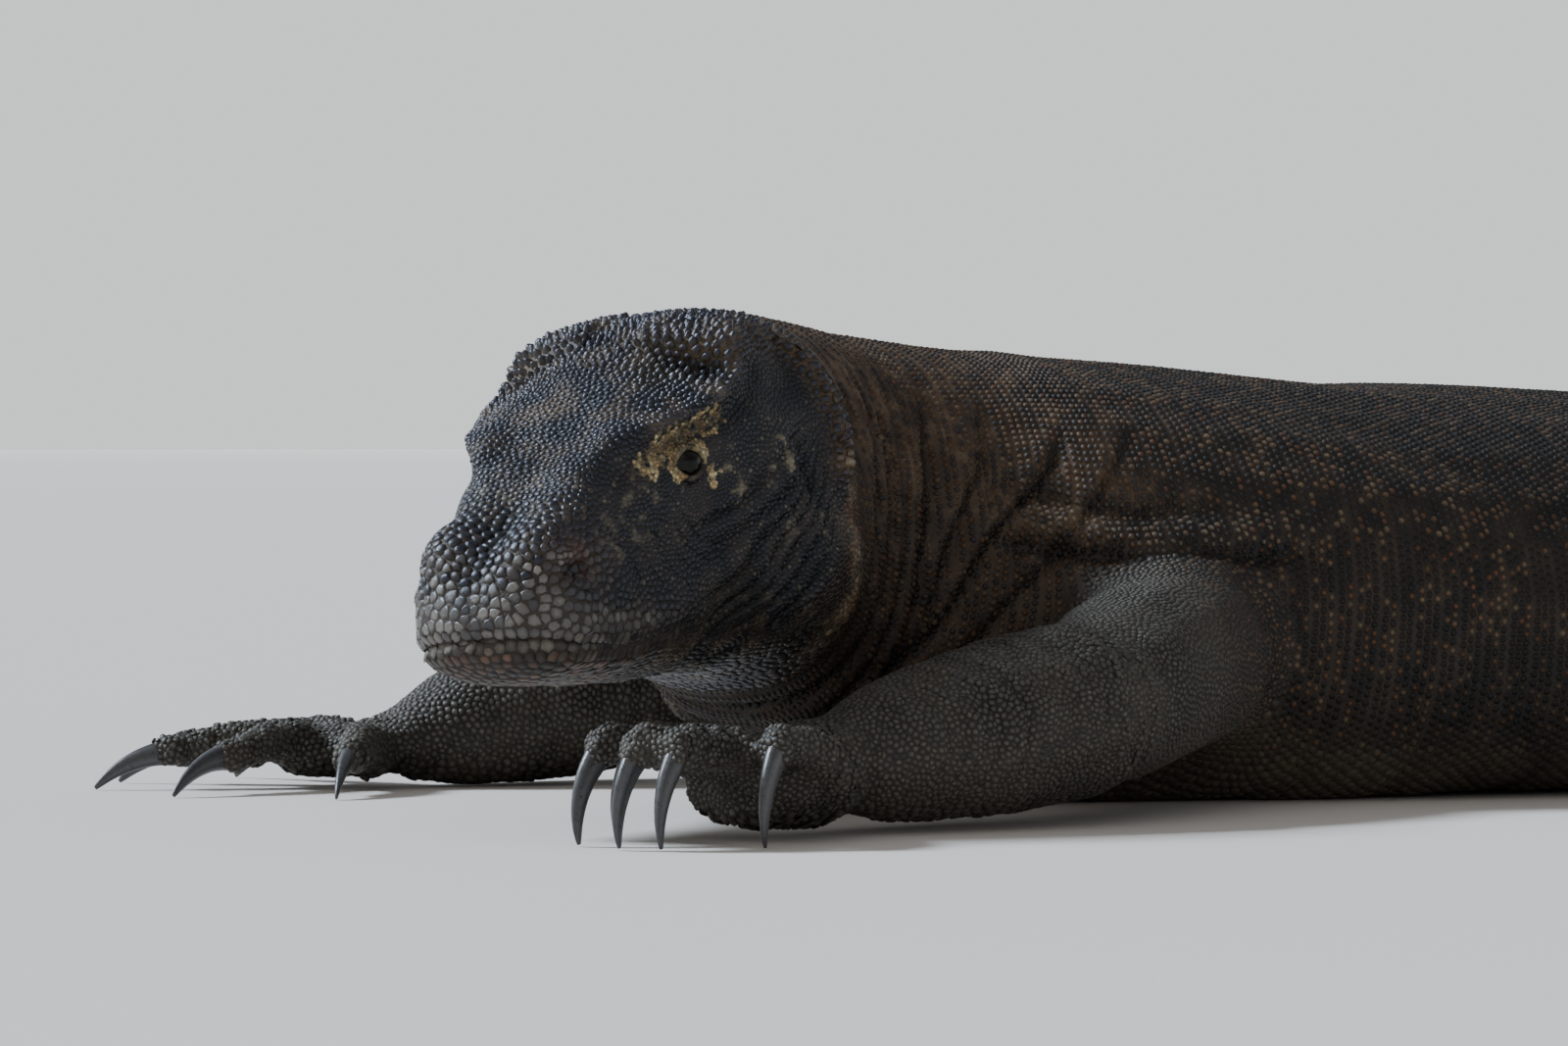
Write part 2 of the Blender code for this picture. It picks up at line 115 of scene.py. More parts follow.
def line_distance(points, line):
    """(distance to a polyline, which side of it) of the points' first and third measures. 1 is above."""
    points = points[:, [0, 2]]
    best, side = np.full(len(points), FAR), np.zeros(len(points))
    for a, b in zip(np.array(line[:-1]), np.array(line[1:])):
        step = b - a
        t = np.clip(((points - a) @ step) / np.linalg.norm(step) ** 2, 0, 1)
        away = points - (a + t[:, None] * step)
        gap = np.linalg.norm(away, axis=1)
        closer = gap < best
        best = np.where(closer, gap, best)
        side = np.where(closer, np.sign(step[0] * away[:, 1] - step[1] * away[:, 0]), side)
    return best, side


def tree_of(points):
    """A tree that finds the nearest of the points."""
    tree = kdtree.KDTree(len(points))
    for i, point in enumerate(points):
        tree.insert(point, i)
    tree.balance()
    return tree


# ---------------------------------------------------------------- the body's spine, as in the solids
LENGTH, SPINE_STEPS = 2.56, 1600
NEAR_STEPS, NEAR_BATCH = 25, 20000       # the first search for the nearest place on the spine
HEAD_MIDDLE = 0.1                        # where the straight head's axes are taken, behind the snout's tip
EYE_U, EYE_ABOVE = 0.115, 0.0465         # an eye: behind the snout's tip, above the mouth
MOUTH_LINE = ((-0.03, 0.005), (0.0, 0.004), (0.02, -0.004), (0.045, -0.011), (0.07, -0.014),
              (0.095, -0.012), (0.115, -0.004), (0.130, 0.006))              # (behind, above)
YAW = profile((0, 36), (0.21, 36), (0.25, 33), (0.31, 17), (0.37, 5), (0.42, 0), (1.24, 0),
              (1.64, -14), (2.04, -6), (2.34, 12), (LENGTH, 26))
ROLL = profile((0, 4), (0.21, 4), (0.37, 0), (LENGTH, 0))
HEIGHT = profile((0, 0.0730), (0.1, 0.0925), (0.2, 0.112), (0.24, 0.1155), (0.30, 0.106), (0.38, 0.088),
                 (0.54, 0.072), (0.84, 0.066), (1.09, 0.064), (1.24, 0.058), (1.54, 0.046), (1.84, 0.033),
                 (2.14, 0.021), (2.39, 0.012), (LENGTH, 0.006))


def box_centre(node):
    low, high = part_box(node)
    return np.array((low + high) / 2)


EYES = {word: box_centre(f"{word}_eye") for word in SIDES}


def eye_distance(points, eyes=EYES):
    """How far each point is from the nearer eye."""
    return np.minimum(*(np.linalg.norm(points - eyes[word], axis=1) for word in SIDES))


class Spine:
    """Places and axes along the body's spine, in the frame's own position."""

    def __init__(self):
        self.u = np.linspace(0, LENGTH, SPINE_STEPS + 1)
        pitch = np.arcsin(np.gradient(HEIGHT(self.u), self.u))
        yaw, roll = np.radians(YAW(self.u)), np.radians(ROLL(self.u))
        flat = np.cos(pitch)
        self.back = np.stack([np.cos(yaw) * flat, np.sin(yaw) * flat, np.sin(pitch)], 1)
        level = np.stack([np.sin(yaw), -np.cos(yaw), 0 * yaw], 1)
        upright = np.cross(level, self.back)
        self.left = level * np.cos(roll)[:, None] + upright * np.sin(roll)[:, None]
        self.up = upright * np.cos(roll)[:, None] - level * np.sin(roll)[:, None]
        step = (self.back[1:, :2] + self.back[:-1, :2]) / 2 * np.diff(self.u)[:, None]
        self.place = np.zeros((len(self.u), 3))
        self.place[1:, :2] = np.cumsum(step, axis=0)
        self.place[:, 2] = HEIGHT(self.u)
        self.head_at = int(np.searchsorted(self.u, HEAD_MIDDLE))
        drift = (EYES["left"] + EYES["right"]) / 2 - self.head_points([[EYE_U, 0, EYE_ABOVE]])[0]
        self.place[:, :2] += drift[:2]

    def head_axes(self):
        """The head's ways back, left and up."""
        return self.back[self.head_at], self.left[self.head_at], self.up[self.head_at]

    def head_points(self, head):
        """Points in space of points given in the head's own measures."""
        back, left, up = self.head_axes()
        head = np.array(head, float)
        along = head[:, :1] - HEAD_MIDDLE
        return self.place[self.head_at] + along * back + head[:, 1:2] * left + head[:, 2:3] * up

    def in_head(self, points):
        """(behind the snout's tip, to the left, above the mouth) of points in space."""
        back, left, up = self.head_axes()
        away = points - self.place[self.head_at]
        return np.stack([away @ back + HEAD_MIDDLE, away @ left, away @ up], 1)

    def along_body(self, points):
        """(behind the snout's tip, to the left, upwards) of points in space, along the bent spine."""
        coarse = self.place[::NEAR_STEPS]
        nearest = np.zeros(len(points), int)
        for start in range(0, len(points), NEAR_BATCH):
            part = points[start:start + NEAR_BATCH, None, :2] - coarse[None, :, :2]
            nearest[start:start + NEAR_BATCH] = np.argmin((part ** 2).sum(2), axis=1) * NEAR_STEPS
        for _ in range(3):
            away = points - self.place[nearest]
            shift = np.round(dot(away[:, :2], self.back[nearest][:, :2]) / (self.u[1] - self.u[0]))
            nearest = np.clip(nearest + shift.astype(int), 0, SPINE_STEPS)
        away = points - self.place[nearest]
        rest = dot(away[:, :2], self.back[nearest][:, :2])
        return np.stack([self.u[nearest] + rest, dot(away, self.left[nearest]),
                         dot(away, self.up[nearest])], 1)


SPINE = Spine()


def mirrored(head):
    """The head's measures with its right side laid on its left."""
    return np.stack([head[:, 0], np.abs(head[:, 1]), head[:, 2]], 1)


# ---------------------------------------------------------------- meshes as arrays
def read_array(items, name, width, kind=np.float32):
    """One row for each item of a mesh, with the numbers that the name stores in it."""
    out = np.empty(len(items) * width, kind)
    items.foreach_get(name, out)
    return out.reshape(-1, width)


def read_points(mesh):
    return read_array(mesh.vertices, "co", 3).astype(float)


def read_normals(mesh):
    return read_array(mesh.vertex_normals, "vector", 3).astype(float)


def read_edges(mesh):
    return read_array(mesh.edges, "vertices", 2, np.int32)


def write_points(mesh, points):
    mesh.vertices.foreach_set("co", points.astype(np.float32).ravel())
    mesh.update()


def mesh_of(name, points, faces):
    mesh = bpy.data.meshes.new(name)
    mesh.from_pydata(np.asarray(points).tolist(), [], faces)
    return mesh


def edit(mesh, change):
    """Makes the change to the mesh as a bmesh."""
    bm = bmesh.new()
    bm.from_mesh(mesh)
    change(bm)
    bm.to_mesh(mesh)
    bm.free()


def face_outward(bm):
    bmesh.ops.recalc_face_normals(bm, faces=bm.faces)


def paint_mesh(mesh, colours):
    """Stores a colour for each point, which the materials vary further."""
    layer = mesh.color_attributes.new(name="shade", type="FLOAT_COLOR", domain="POINT")
    colours = np.column_stack([colours, np.ones(len(colours))])
    layer.data.foreach_set("color", colours.astype(np.float32).ravel())


def add_object(name, data):
    """A new object in the scene."""
    piece = bpy.data.objects.new(name, data)
    bpy.context.collection.objects.link(piece)
    return piece


# ---------------------------------------------------------------- the skin: one mesh over all the flesh
BODY_NODES = ["head", "lower_jaw", "neck", "thorax", "loin"] + [f"tail_{i}" for i in range(1, 5)]
LIMB_NODES = [f"{side}_{word}" for side in SIDES
              for word in ("upper_arm", "forearm", "hand", "thigh", "shank", "foot")]
FLESH = BODY_NODES + LIMB_NODES
VOXEL = 0.0040
COAT_DEPTH = 0.0012      # how far the skin lies inside the solids, where the scales stand on it
DIGIT_END = (0.0120, 0.0082, 0.0086)     # half sizes of the flesh over a claw's root
LOWEST_SKIN = 0.0009     # the skin's belly above the floor, which leaves room for the belly's scales
TAIL_STRETCH = 0.0105    # what smoothing takes off the tail's tip
SHRINK, SWELL = 0.50, -0.52              # shares of the way to the neighbours' mean
EVERYWHERE_ROUNDS, OFF_PAWS_ROUNDS, OFF_FACE_ROUNDS = 2, 6, 24       # rounds of smoothing
BLEND_ROUNDS, BRIDGE_ROUNDS = 30, 130    # how far regions blend, and how slack the skin is at limbs' roots

CLAW_RADIUS, CLAW_TIP = 0.0052, 0.0009
CLAW_PATHS = {"left_hand": (0.040, 40, 102), "right_hand": (0.040, 0, 46),
              "left_foot": (0.036, 25, 85), "right_foot": (0.036, 25, 85)}   # length, slope at root and tip
CLAWS = range(1, 6)


def claw_path(length, slopes, s):
    """(forward, down, slope) along a claw that bends evenly from one slope to the other."""
    a, b = np.radians(slopes)
    slope = a + (b - a) * s
    forward = length * (math.sin(slope) - math.sin(a)) / (b - a)
    down = length * (math.cos(a) - math.cos(slope)) / (b - a)
    return forward, down, slope


def claw_stand(paw, number):
    """(root, heading, side) of a claw, from the solid's own tip on the floor."""
    length, *slopes = CLAW_PATHS[paw]
    solid = read_points(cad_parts[f"{paw}_claw_{number}"].data)
    lowest = solid[np.argsort(solid[:, 2])[:6]].mean(0)
    heading = lowest[:2] - solid[:, :2].mean(0)
    heading = np.append(heading / np.linalg.norm(heading), 0.0)
    reach, drop, _ = claw_path(length, slopes, 1.0)
    root = np.array([lowest[0], lowest[1], CLAW_TIP + drop]) - heading * reach
    return root, heading, np.array([-heading[1], heading[0], 0.0])


def joined_solids(nodes):
    """The points and faces of the solids together, and for each face the number of its node."""
    points, faces, owners = [], [], []
    for number, node in enumerate(nodes):
        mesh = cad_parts[node].data
        base = sum(map(len, points))
        points.append(read_points(mesh))
        faces += [[base + v for v in polygon.vertices] for polygon in mesh.polygons]
        owners += [number] * len(mesh.polygons)
    return np.concatenate(points), faces, np.array(owners)


def average(values, edges, weight):
    """One round of moving each value towards its neighbours' mean by the weight."""
    (a, b), size = edges.T, len(values)
    count = np.maximum(np.bincount(a, minlength=size) + np.bincount(b, minlength=size), 1)
    total = np.stack([np.bincount(a, column[b], size) + np.bincount(b, column[a], size)
                      for column in values.T], 1)
    return values + weight[:, None] * (total / count[:, None] - values)


def smooth_points(points, edges, weight, rounds):
    """Smoothing that takes facets away but keeps the volume: each round shrinks it and swells it back."""
    for _ in range(rounds):
        points = average(points, edges, SHRINK * weight)
        points = average(points, edges, SWELL * weight)
    return points


def add_digit_ends(bm):
    """The fleshy end of each digit, round the root of its claw."""
    for paw, (_, slope, _) in CLAW_PATHS.items():
        slope = math.radians(slope)
        for number in CLAWS:
            root, heading, side = claw_stand(paw, number)
            along = heading * math.cos(slope) - np.array((0, 0, math.sin(slope)))
            raised = np.cross(side, along)
            raised *= np.sign(raised[2])
            axes = np.column_stack([along, side, raised]) * DIGIT_END
            place = Matrix(axes.tolist()).to_4x4()
            place.translation = Vector(root - 0.0010 * along + 0.0006 * raised)
            bmesh.ops.create_icosphere(bm, subdivisions=3, radius=1.0, matrix=place)


def remeshed_flesh():
    """The flesh solids, the eyes and the digits' ends as one closed mesh of even small faces."""
    points, faces, _ = joined_solids(FLESH + [f"{side}_eye" for side in SIDES])
    mesh = mesh_of("flesh", points, faces)
    edit(mesh, add_digit_ends)
    rough = add_object("flesh", mesh)
    remesh = rough.modifiers.new("even faces", "REMESH")
    remesh.mode, remesh.voxel_size, remesh.adaptivity = "VOXEL", VOXEL, 0.0
    even = bpy.data.meshes.new_from_object(rough.evaluated_get(bpy.context.evaluated_depsgraph_get()))
    bpy.data.objects.remove(rough)
    bpy.data.meshes.remove(mesh)
    return even


def region_of(points, solids, owners):
    """The number of the node whose solid is nearest to each point."""
    return owners[[solids.find_nearest(Vector(p))[2] for p in points]]


def refine(mesh, chosen):
    """Splits the edges whose two ends are chosen, so that the faces there halve in size."""
    def split(bm):
        picked = [edge for edge in bm.edges if chosen[edge.verts[0].index] and chosen[edge.verts[1].index]]
        bmesh.ops.subdivide_edges(bm, edges=picked, cuts=1, use_grid_fill=True)
        bmesh.ops.triangulate(bm, faces=[face for face in bm.faces if len(face.verts) > 4])

    edit(mesh, split)


def head_and_hands(points):
    """True on the head, and on the hands in front of it."""
    body = SPINE.along_body(points)
    head = (np.linalg.norm(body[:, 1:], axis=1) < 0.12) & (points[:, 2] > 0.035)
    return (body[:, 0] < 0.235) & (head | (points[:, 2] < 0.05))


def muzzle_mouth_and_eyes(points):
    head = SPINE.in_head(points)
    u, wide, above = mirrored(head).T
    chosen = (u < 0.055) & (above > -0.015) & (wide < 0.06)
    chosen |= (line_distance(head, MOUTH_LINE)[0] < 0.007) & (u < 0.135) & (wide < 0.075)
    return chosen | (eye_distance(points) < 0.030)


def eye_openings(points):
    return eye_distance(points) < 0.015


EYE_BALL = 0.0080                                    # radius of the eyeball that shows
BALL_FORWARD, BALL_INWARD = 0.0020, 0.0014           # its middle, from the middle of the solid eye
LID_WIDE, LID_HIGH = math.radians(47), math.radians(39)   # half the opening, seen from the ball's centre
LID_SLANT = math.radians(8)                          # the opening slants, its front corner lower
LID_THICKNESS, LID_SINK = 0.0017, 0.0016             # the lid before the ball's face, the skin behind it
EYE_FORWARD, EYE_UPWARD = 0.60, 0.10                 # how it looks, for each unit to the side


def eye_frame(word):
    """(centre, outward, forward, upward) of an eye: where its ball is and how its opening faces."""
    back, left, up = SPINE.head_axes()
    side = left if word == "left" else -left
    outward = unit(side - EYE_FORWARD * back + EYE_UPWARD * up)
    forward = unit(-back - ((-back) @ outward) * outward)
    centre = EYES[word] - BALL_FORWARD * back - BALL_INWARD * side
    return centre, outward, forward, unit(np.cross(forward, outward) * (1 if word == "left" else -1))


def eye_angles(points, word):
    """How far points are from the eye's centre, and their place on the eye's opening: 1 is its rim."""
    centre, outward, forward, upward = eye_frame(word)
    away = points - centre
    across = np.arctan2(away @ forward, away @ outward)
    above = np.arctan2(away @ upward, away @ outward)
    wide = across * math.cos(LID_SLANT) + above * math.sin(LID_SLANT)
    high = above * math.cos(LID_SLANT) - across * math.sin(LID_SLANT)
    return np.linalg.norm(away, axis=1), np.hypot(wide / LID_WIDE, high / LID_HIGH), np.arctan2(high, wide)


def lids(points):
    """Draws the skin in behind the eyeballs and wraps a rounded rim of lid round each opening."""
    inside, outside = EYE_BALL - LID_SINK, EYE_BALL + LID_THICKNESS
    for word in SIDES:
        centre = eye_frame(word)[0]
        distance, rim, turn = eye_angles(points, word)
        level = outside + (np.maximum(distance, outside) - outside) * ease(rim, 1.10, 1.50)
        wanted = inside + (level - inside) * ease(rim, 0.94, 1.06)
        wanted = wanted + 0.0002 * np.sin(rim * 42 + 1.5 * np.sin(3 * turn)) * near(rim, 1.35, 0.20)
        pull = (1 - ease(rim, 1.50, 2.0)) * (distance < 0.03)
        moved = centre + (points - centre) * (wanted / np.maximum(distance, 1e-6))[:, None]
        points = points + pull[:, None] * (moved - points)
    return points


BROW_LINE = ((0.066, 0.0545), (0.093, 0.0620), (0.123, 0.0650), (0.139, 0.0676), (0.153, 0.0727),
             (0.161, 0.0776), (0.176, 0.0812), (0.200, 0.0805), (0.214, 0.0740))        # (behind, above)
RIM_LINE = ((0.150, 0.0840), (0.190, 0.0835), (0.208, 0.0785), (0.215, 0.0680), (0.216, 0.0560),
            (0.213, 0.0430), (0.204, 0.0290), (0.196, 0.0160), (0.195, 0.0000), (0.197, -0.0160),
            (0.203, -0.0320))


def over_brow(head):
    """1 on the crown, inside the ridge that runs over the eye and round the temple, and 0 below it."""
    gap, side = line_distance(head, BROW_LINE)
    return np.where(head[:, 2] > 0.04, ease(gap * side, -0.0025, 0.0025), 0)


def on_rim(head, spread):
    """1 along the ridge of large scales behind the temple and the jaw."""
    gap, _ = line_distance(head, RIM_LINE)
    return near(gap, 0, spread) * (np.abs(head[:, 1]) > 0.012) * ease(head[:, 0], 0.140, 0.156)


HEAD_SWELLINGS = (       # height of the skin there, (behind, to the side, above) and spreads of these
    (-0.0050, (0.0285, 0.0310, 0.0235), (0.0050, 0.0050, 0.0024)),    # nostrils
    (0.0016, (0.0310, 0.0320, 0.0185), (0.0070, 0.0060, 0.0024)),
    (0.0022, (0.0260, 0.0225, 0.0375), (0.0120, 0.0080, 0.0080)),     # nasal swellings
    (-0.0042, (0.0260, 0.0000, 0.0420), (0.0200, 0.0062, 0.0160)),    # between them
    (0.0050, (0.1750, 0.0000, 0.0880), (0.0320, 0.0200, 0.0200)),     # crown
    (-0.0055, (0.1350, 0.0360, 0.0820), (0.0220, 0.0120, 0.0100)),
    (0.0036, (0.0600, 0.0260, 0.0520), (0.0170, 0.0120, 0.0100)),     # snout's shoulders
    (0.0024, (0.0080, 0.0120, 0.0110), (0.0140, 0.0220, 0.0080)),     # upper lip's front
    (0.0036, (0.0550, 0.0200, -0.0380), (0.0450, 0.0300, 0.0130)),    # chin
    (-0.0042, (0.1830, 0.0540, 0.0640), (0.0200, 0.0200, 0.0110)),    # temples
    (-0.0050, (0.1740, 0.0700, 0.0310), (0.0036, 0.0300, 0.0070)),    # ears
    (0.0012, (0.1680, 0.0700, 0.0310), (0.0030, 0.0300, 0.0100)))
JAW_FOLDS = ((0.030, 0.35), (0.021, 0.42), (0.012, 0.50), (0.003, 0.58), (-0.007, 0.62), (-0.018, 0.66),
             (-0.028, 0.70))             # (above, how steeply it rises towards the back)
CHEEK_CREASES = (0.064, 0.073, 0.081, 0.090, 0.099, 0.108)


def head_relief(points):
    """Height of the head's folds, ridges and pits at each point, along its normal."""
    head = SPINE.in_head(points)
    u, wide, above = mirrored(head).T
    gap, _ = line_distance(head, MOUTH_LINE)
    mouth = (1 - ease(u, 0.078, 0.098)) * (above > -0.03) * (above < 0.03)
    relief = mouth * (-0.0017 * near(gap, 0, 0.0008) + 0.0008 * near(gap, 0.0045, 0.0025))
    for rise, centre, spread in HEAD_SWELLINGS:
        relief += rise * spot(mirrored(head), centre, spread)
    gap, over = line_distance(head, BROW_LINE)
    brow = ease(wide, 0.017, 0.027) * ease(u, 0.062, 0.078) * (1 - ease(u, 0.168, 0.184))
    over = gap * over
    relief += brow * (0.0042 * near(over, 0.0008, 0.0026) - 0.0030 * near(over, -0.0070, 0.0036))
    relief += 0.0044 * on_rim(head, 0.0034) * ease(above, 0.010, 0.030) + 0.0020 * on_rim(head, 0.0060)
    for centre, tilt in JAW_FOLDS:
        line = above - centre - tilt * (u - 0.14) + 0.0045 * waves(points, 0.045, 61)
        relief -= 0.0022 * near(line, 0, 0.0014) * ease(u, 0.090, 0.125) * (1 - ease(u, 0.18, 0.20))
    for start in CHEEK_CREASES:
        line = u - start + 0.55 * (above - 0.02) + 0.0035 * waves(points, 0.03, 67)
        relief -= 0.0011 * near(line, 0, 0.0011) * near(above, 0.020, 0.012) * (wide > 0.02)
    relief *= 1 - ease(u, 0.235, 0.26)
    return relief + 0.0006 * waves(points, 0.030, 62) * ease(u, 0.02, 0.06) * (1 - ease(u, 0.24, 0.28))


NECK_FOLDS = ((0.236, 0.0040, -0.25), (0.254, 0.0054, -0.29), (0.268, 0.0034, -0.30),
              (0.284, 0.0054, -0.32), (0.304, 0.0044, -0.40), (0.326, 0.0032, -0.62),
              (0.350, 0.0046, -0.86), (0.378, 0.0028, -0.95))     # (behind, depth, lean)


def body_relief(points):
    """Height of the neck's and trunk's folds."""
    u, side, above = SPINE.along_body(points).T
    ripple = 0.004 * waves(points, 0.06, 63)
    low = 1 - ease(above, 0.02, 0.07)
    relief = np.zeros(len(points))
    for start, deep, lean in NECK_FOLDS:
        line = u - start - lean * (0.03 - above) + 0.7 * ripple
        strength = deep * (0.30 + 0.70 * low) * (1 - ease(above, 0.055, 0.085)) * (0.5 + 0.5 * (side > 0))
        relief += strength * (0.5 * near(line, -0.0058, 0.0034) - near(line, 0, 0.0021))
    shoulder = above - 0.014 - 0.09 * (u - 0.344) + 0.5 * ripple
    reach = ease(u, 0.325, 0.350) * (1 - ease(u, 0.455, 0.490))
    relief += reach * (0.0024 * near(shoulder, 0.009, 0.005) - 0.0046 * near(shoulder, 0, 0.0026))
    relief -= 0.0024 * near(shoulder, 0.020, 0.0026) * reach * (1 - ease(u, 0.40, 0.46))
    for start in np.arange(0.46, 1.16, 0.055):
        line = u - start - 0.25 * np.abs(above) + 2.0 * ripple
        relief -= 0.0010 * near(line, 0, 0.0050) * (1 - ease(above, 0.01, 0.06))
    relief += 0.0016 * waves(points, 0.12, 64) * ease(u, 0.34, 0.45) * (1 - ease(u, 1.2, 1.5))
    return relief * ease(u, 0.222, 0.24)


def limb_relief(points, limb_share, lower, paw):
    """Height of the loose skin's wrinkles on the limbs, which run across them."""
    bend = waves(points, 0.045, 65)
    phase = 2 * math.pi * (points[:, 0] * 0.80 + points[:, 1] * 0.45)
    broad = np.sin(phase / 0.0150 + 2.4 * bend)
    fine = np.sin(phase / 0.0062 + 3.4 * bend)
    gate = np.clip(0.55 + 0.8 * waves(points, 0.07, 68), 0, 1)
    return limb_share * (0.0008 * waves(points, 0.05, 66) + gate * lower * (0.0009 * broad + 0.00050 * fine)
                         + paw * 0.0005 * fine)


def fold_relief(points, shares):
    """Height of the head's and body's folds where each has its share."""
    return head_relief(points) * shares[:, 0] + body_relief(points) * shares[:, 1]


def creases(points, shares):
    """How deep in a fold each point lies, from 0 to 1."""
    return np.clip(-fold_relief(points, shares) / 0.0030, 0, 1)


class Skin:
    """The skin's mesh, with its points, normals, faces and shares of each region as arrays.

    The shares are of the head, the body, the limbs, the paws, and the limbs below an elbow or knee.
    """

    def __init__(self):
        points, faces, self.owners = joined_solids(FLESH)
        self.solids = bvhtree.BVHTree.FromPolygons(points.tolist(), faces)
        self.mesh = remeshed_flesh()
        self.shape(self.mesh)
        self.points = read_points(self.mesh)
        self.normals = read_normals(self.mesh)
        faces = [list(polygon.vertices) for polygon in self.mesh.polygons]
        self.corners = np.array([[f[0], f[1], f[2], f[-1]] for f in faces])
        self.tree = bvhtree.BVHTree.FromPolygons(self.points.tolist(), faces)
        self.near_points = tree_of(self.points)

    def shape(self, mesh):
        """Smooths and sinks the flesh, refines its face and gives it its folds and lids."""
        self.smooth_and_sink(mesh)
        for where in (head_and_hands, muzzle_mouth_and_eyes, eye_openings):
            chosen = where(read_points(mesh))
            refine(mesh, chosen)
            points = read_points(mesh)
            fine = np.ones(len(points))
            fine[:len(chosen)] = chosen
            write_points(mesh, smooth_points(points, read_edges(mesh), fine, 2))
        points = read_points(mesh)
        self.shares = self.region_shares(mesh, points)
        _, body_share, limb, paw, lower = self.shares.T
        relief = fold_relief(points, self.shares) + limb_relief(points, limb, lower, paw)
        tail_tip = ease(SPINE.along_body(points)[:, 0], LENGTH - 0.10, LENGTH - 0.015)
        stretch = TAIL_STRETCH * tail_tip * body_share
        points = lids(points + read_normals(mesh) * relief[:, None])
        points = points + stretch[:, None] * SPINE.back[-1]
        points[:, 2] = np.maximum(points[:, 2], LOWEST_SKIN)
        write_points(mesh, points)

    def smooth_and_sink(self, mesh):
        """Takes the facets away, spans the limbs' roots with loose skin and sinks it all in the solids."""
        points, edges = read_points(mesh), read_edges(mesh)
        everywhere = np.ones(len(points))
        region = region_of(points, self.solids, self.owners)
        paws = np.isin(region, [FLESH.index(node) for node in FLESH if node.endswith(("hand", "foot"))])
        head, trunk = region < 2, region < len(BODY_NODES)
        points = smooth_points(points, edges, everywhere, EVERYWHERE_ROUNDS)
        points = smooth_points(points, edges, ~paws, OFF_PAWS_ROUNDS)
        points = smooth_points(points, edges, ~paws & ~head, OFF_FACE_ROUNDS)
        roots = [FLESH.index(f"{side}_{word}") for side in SIDES for word in ("upper_arm", "thigh")]
        joined = np.stack([np.isin(region, roots), trunk], 1).astype(float)
        for _ in range(BLEND_ROUNDS):
            joined = average(joined, edges, 0.9 * everywhere)
        bridge = np.clip(3.6 * joined[:, 0] * joined[:, 1], 0, 0.8)
        for _ in range(BRIDGE_ROUNDS):
            points = average(points, edges, bridge)
        write_points(mesh, points)
        thin = ease(SPINE.along_body(points)[:, 0], 1.6, LENGTH) * trunk
        depth = COAT_DEPTH * np.where(paws, 0.75, 1.0) * (1 - 0.4 * thin)
        write_points(mesh, points - read_normals(mesh) * depth[:, None])

    def region_shares(self, mesh, points):
        """How much each point belongs to each region, blended where they meet."""
        names = np.array(FLESH)[region_of(points, self.solids, self.owners)]
        limb = np.isin(names, LIMB_NODES)
        paw = np.char.endswith(names, "hand") | np.char.endswith(names, "foot")
        lower = limb & ~np.char.endswith(names, "upper_arm") & ~np.char.endswith(names, "thigh")
        head = np.isin(names, ("head", "lower_jaw"))
        shares = np.stack([head, ~head & ~limb, limb, paw, lower], 1).astype(float)
        edges, weight = read_edges(mesh), np.full(len(points), 0.9)
        for rounds in range(BLEND_ROUNDS):
            wide = average(shares, edges, weight)
            shares[:, 4] = wide[:, 4]
            if rounds < 6:
                shares = wide
        return shares

    def settle(self, points):
        """The nearest places on the skin, with the normal and the shares there."""
        found = [self.tree.find_nearest(Vector(point)) for point in points]
        corners = self.corners[[face for _, _, face, _ in found]]
        places = np.array([place for place, _, _, _ in found], float)
        return places, unit(self.normals[corners].mean(1)), self.shares[corners].mean(1)


# ---------------------------------------------------------------- where the scales stand
RAYS = 240                # rays cast from the spine for each row
FIRST_ROW, LAST_ROW = 0.2175, LENGTH - 0.018
BEND_STEPS = 8            # the spine's bend is measured over these
ROOT_ROOM = 0.80          # how near two scales' roots may be, as a share of a scale's width
CROWDING = 7              # random points for each scale that finds room
SAMPLE_SEED, ORDER_SEED = 11, 12
row_step = profile((0.21, 0.0028), (0.34, 0.0031), (0.38, 0.0034), (0.46, 0.0036), (0.78, 0.0039),
                   (0.95, 0.0046), (1.25, 0.0054), (1.60, 0.0068), (2.10, 0.0060), (2.56, 0.0040))
scale_width = profile((0.21, 0.0027), (0.34, 0.0030), (0.38, 0.0034), (0.46, 0.0036), (0.78, 0.0040),
                      (0.95, 0.0047), (1.25, 0.0052), (1.60, 0.0056), (2.10, 0.0050), (2.56, 0.0036))


def row_places():
    """The spine's distances at which a row of scales goes round the body, closer where it bends."""
    places, u = [], FIRST_ROW
    while u < LAST_ROW:
        places.append(u)
        i = min(int(u / LENGTH * SPINE_STEPS), SPINE_STEPS - 10)
        turn = SPINE.back[i + BEND_STEPS] - SPINE.back[i]
        bend = np.linalg.norm(turn) / (BEND_STEPS * (SPINE.u[1] - SPINE.u[0]))
        u += float(row_step(u)) / (1 - min(0.055 * bend, 0.3))
    return places


def along_path(wanted, measure, path):
    """The places on the path where its measure has the values wanted."""
    return np.stack([np.interp(wanted, measure, path[:, axis]) for axis in range(3)], 1)


def body_ring(skin, u):
    """Points of the skin round the spine at a distance along it, and which of them are on the body."""
    i = int(round(u / LENGTH * SPINE_STEPS))
    origin = Vector(SPINE.place[i])
    ring, on_body = np.empty((RAYS, 3)), np.empty(RAYS, bool)
    for k in range(RAYS):
        turn = 2 * math.pi * k / RAYS
        way = SPINE.up[i] * math.cos(turn) + SPINE.left[i] * math.sin(turn)
        hit, _, face, _ = skin.tree.ray_cast(origin, Vector(way))
        ring[k] = origin if hit is None else hit
        on_body[k] = hit is not None and skin.shares[skin.corners[face, 0], 1] > 0.5
    return ring, on_body


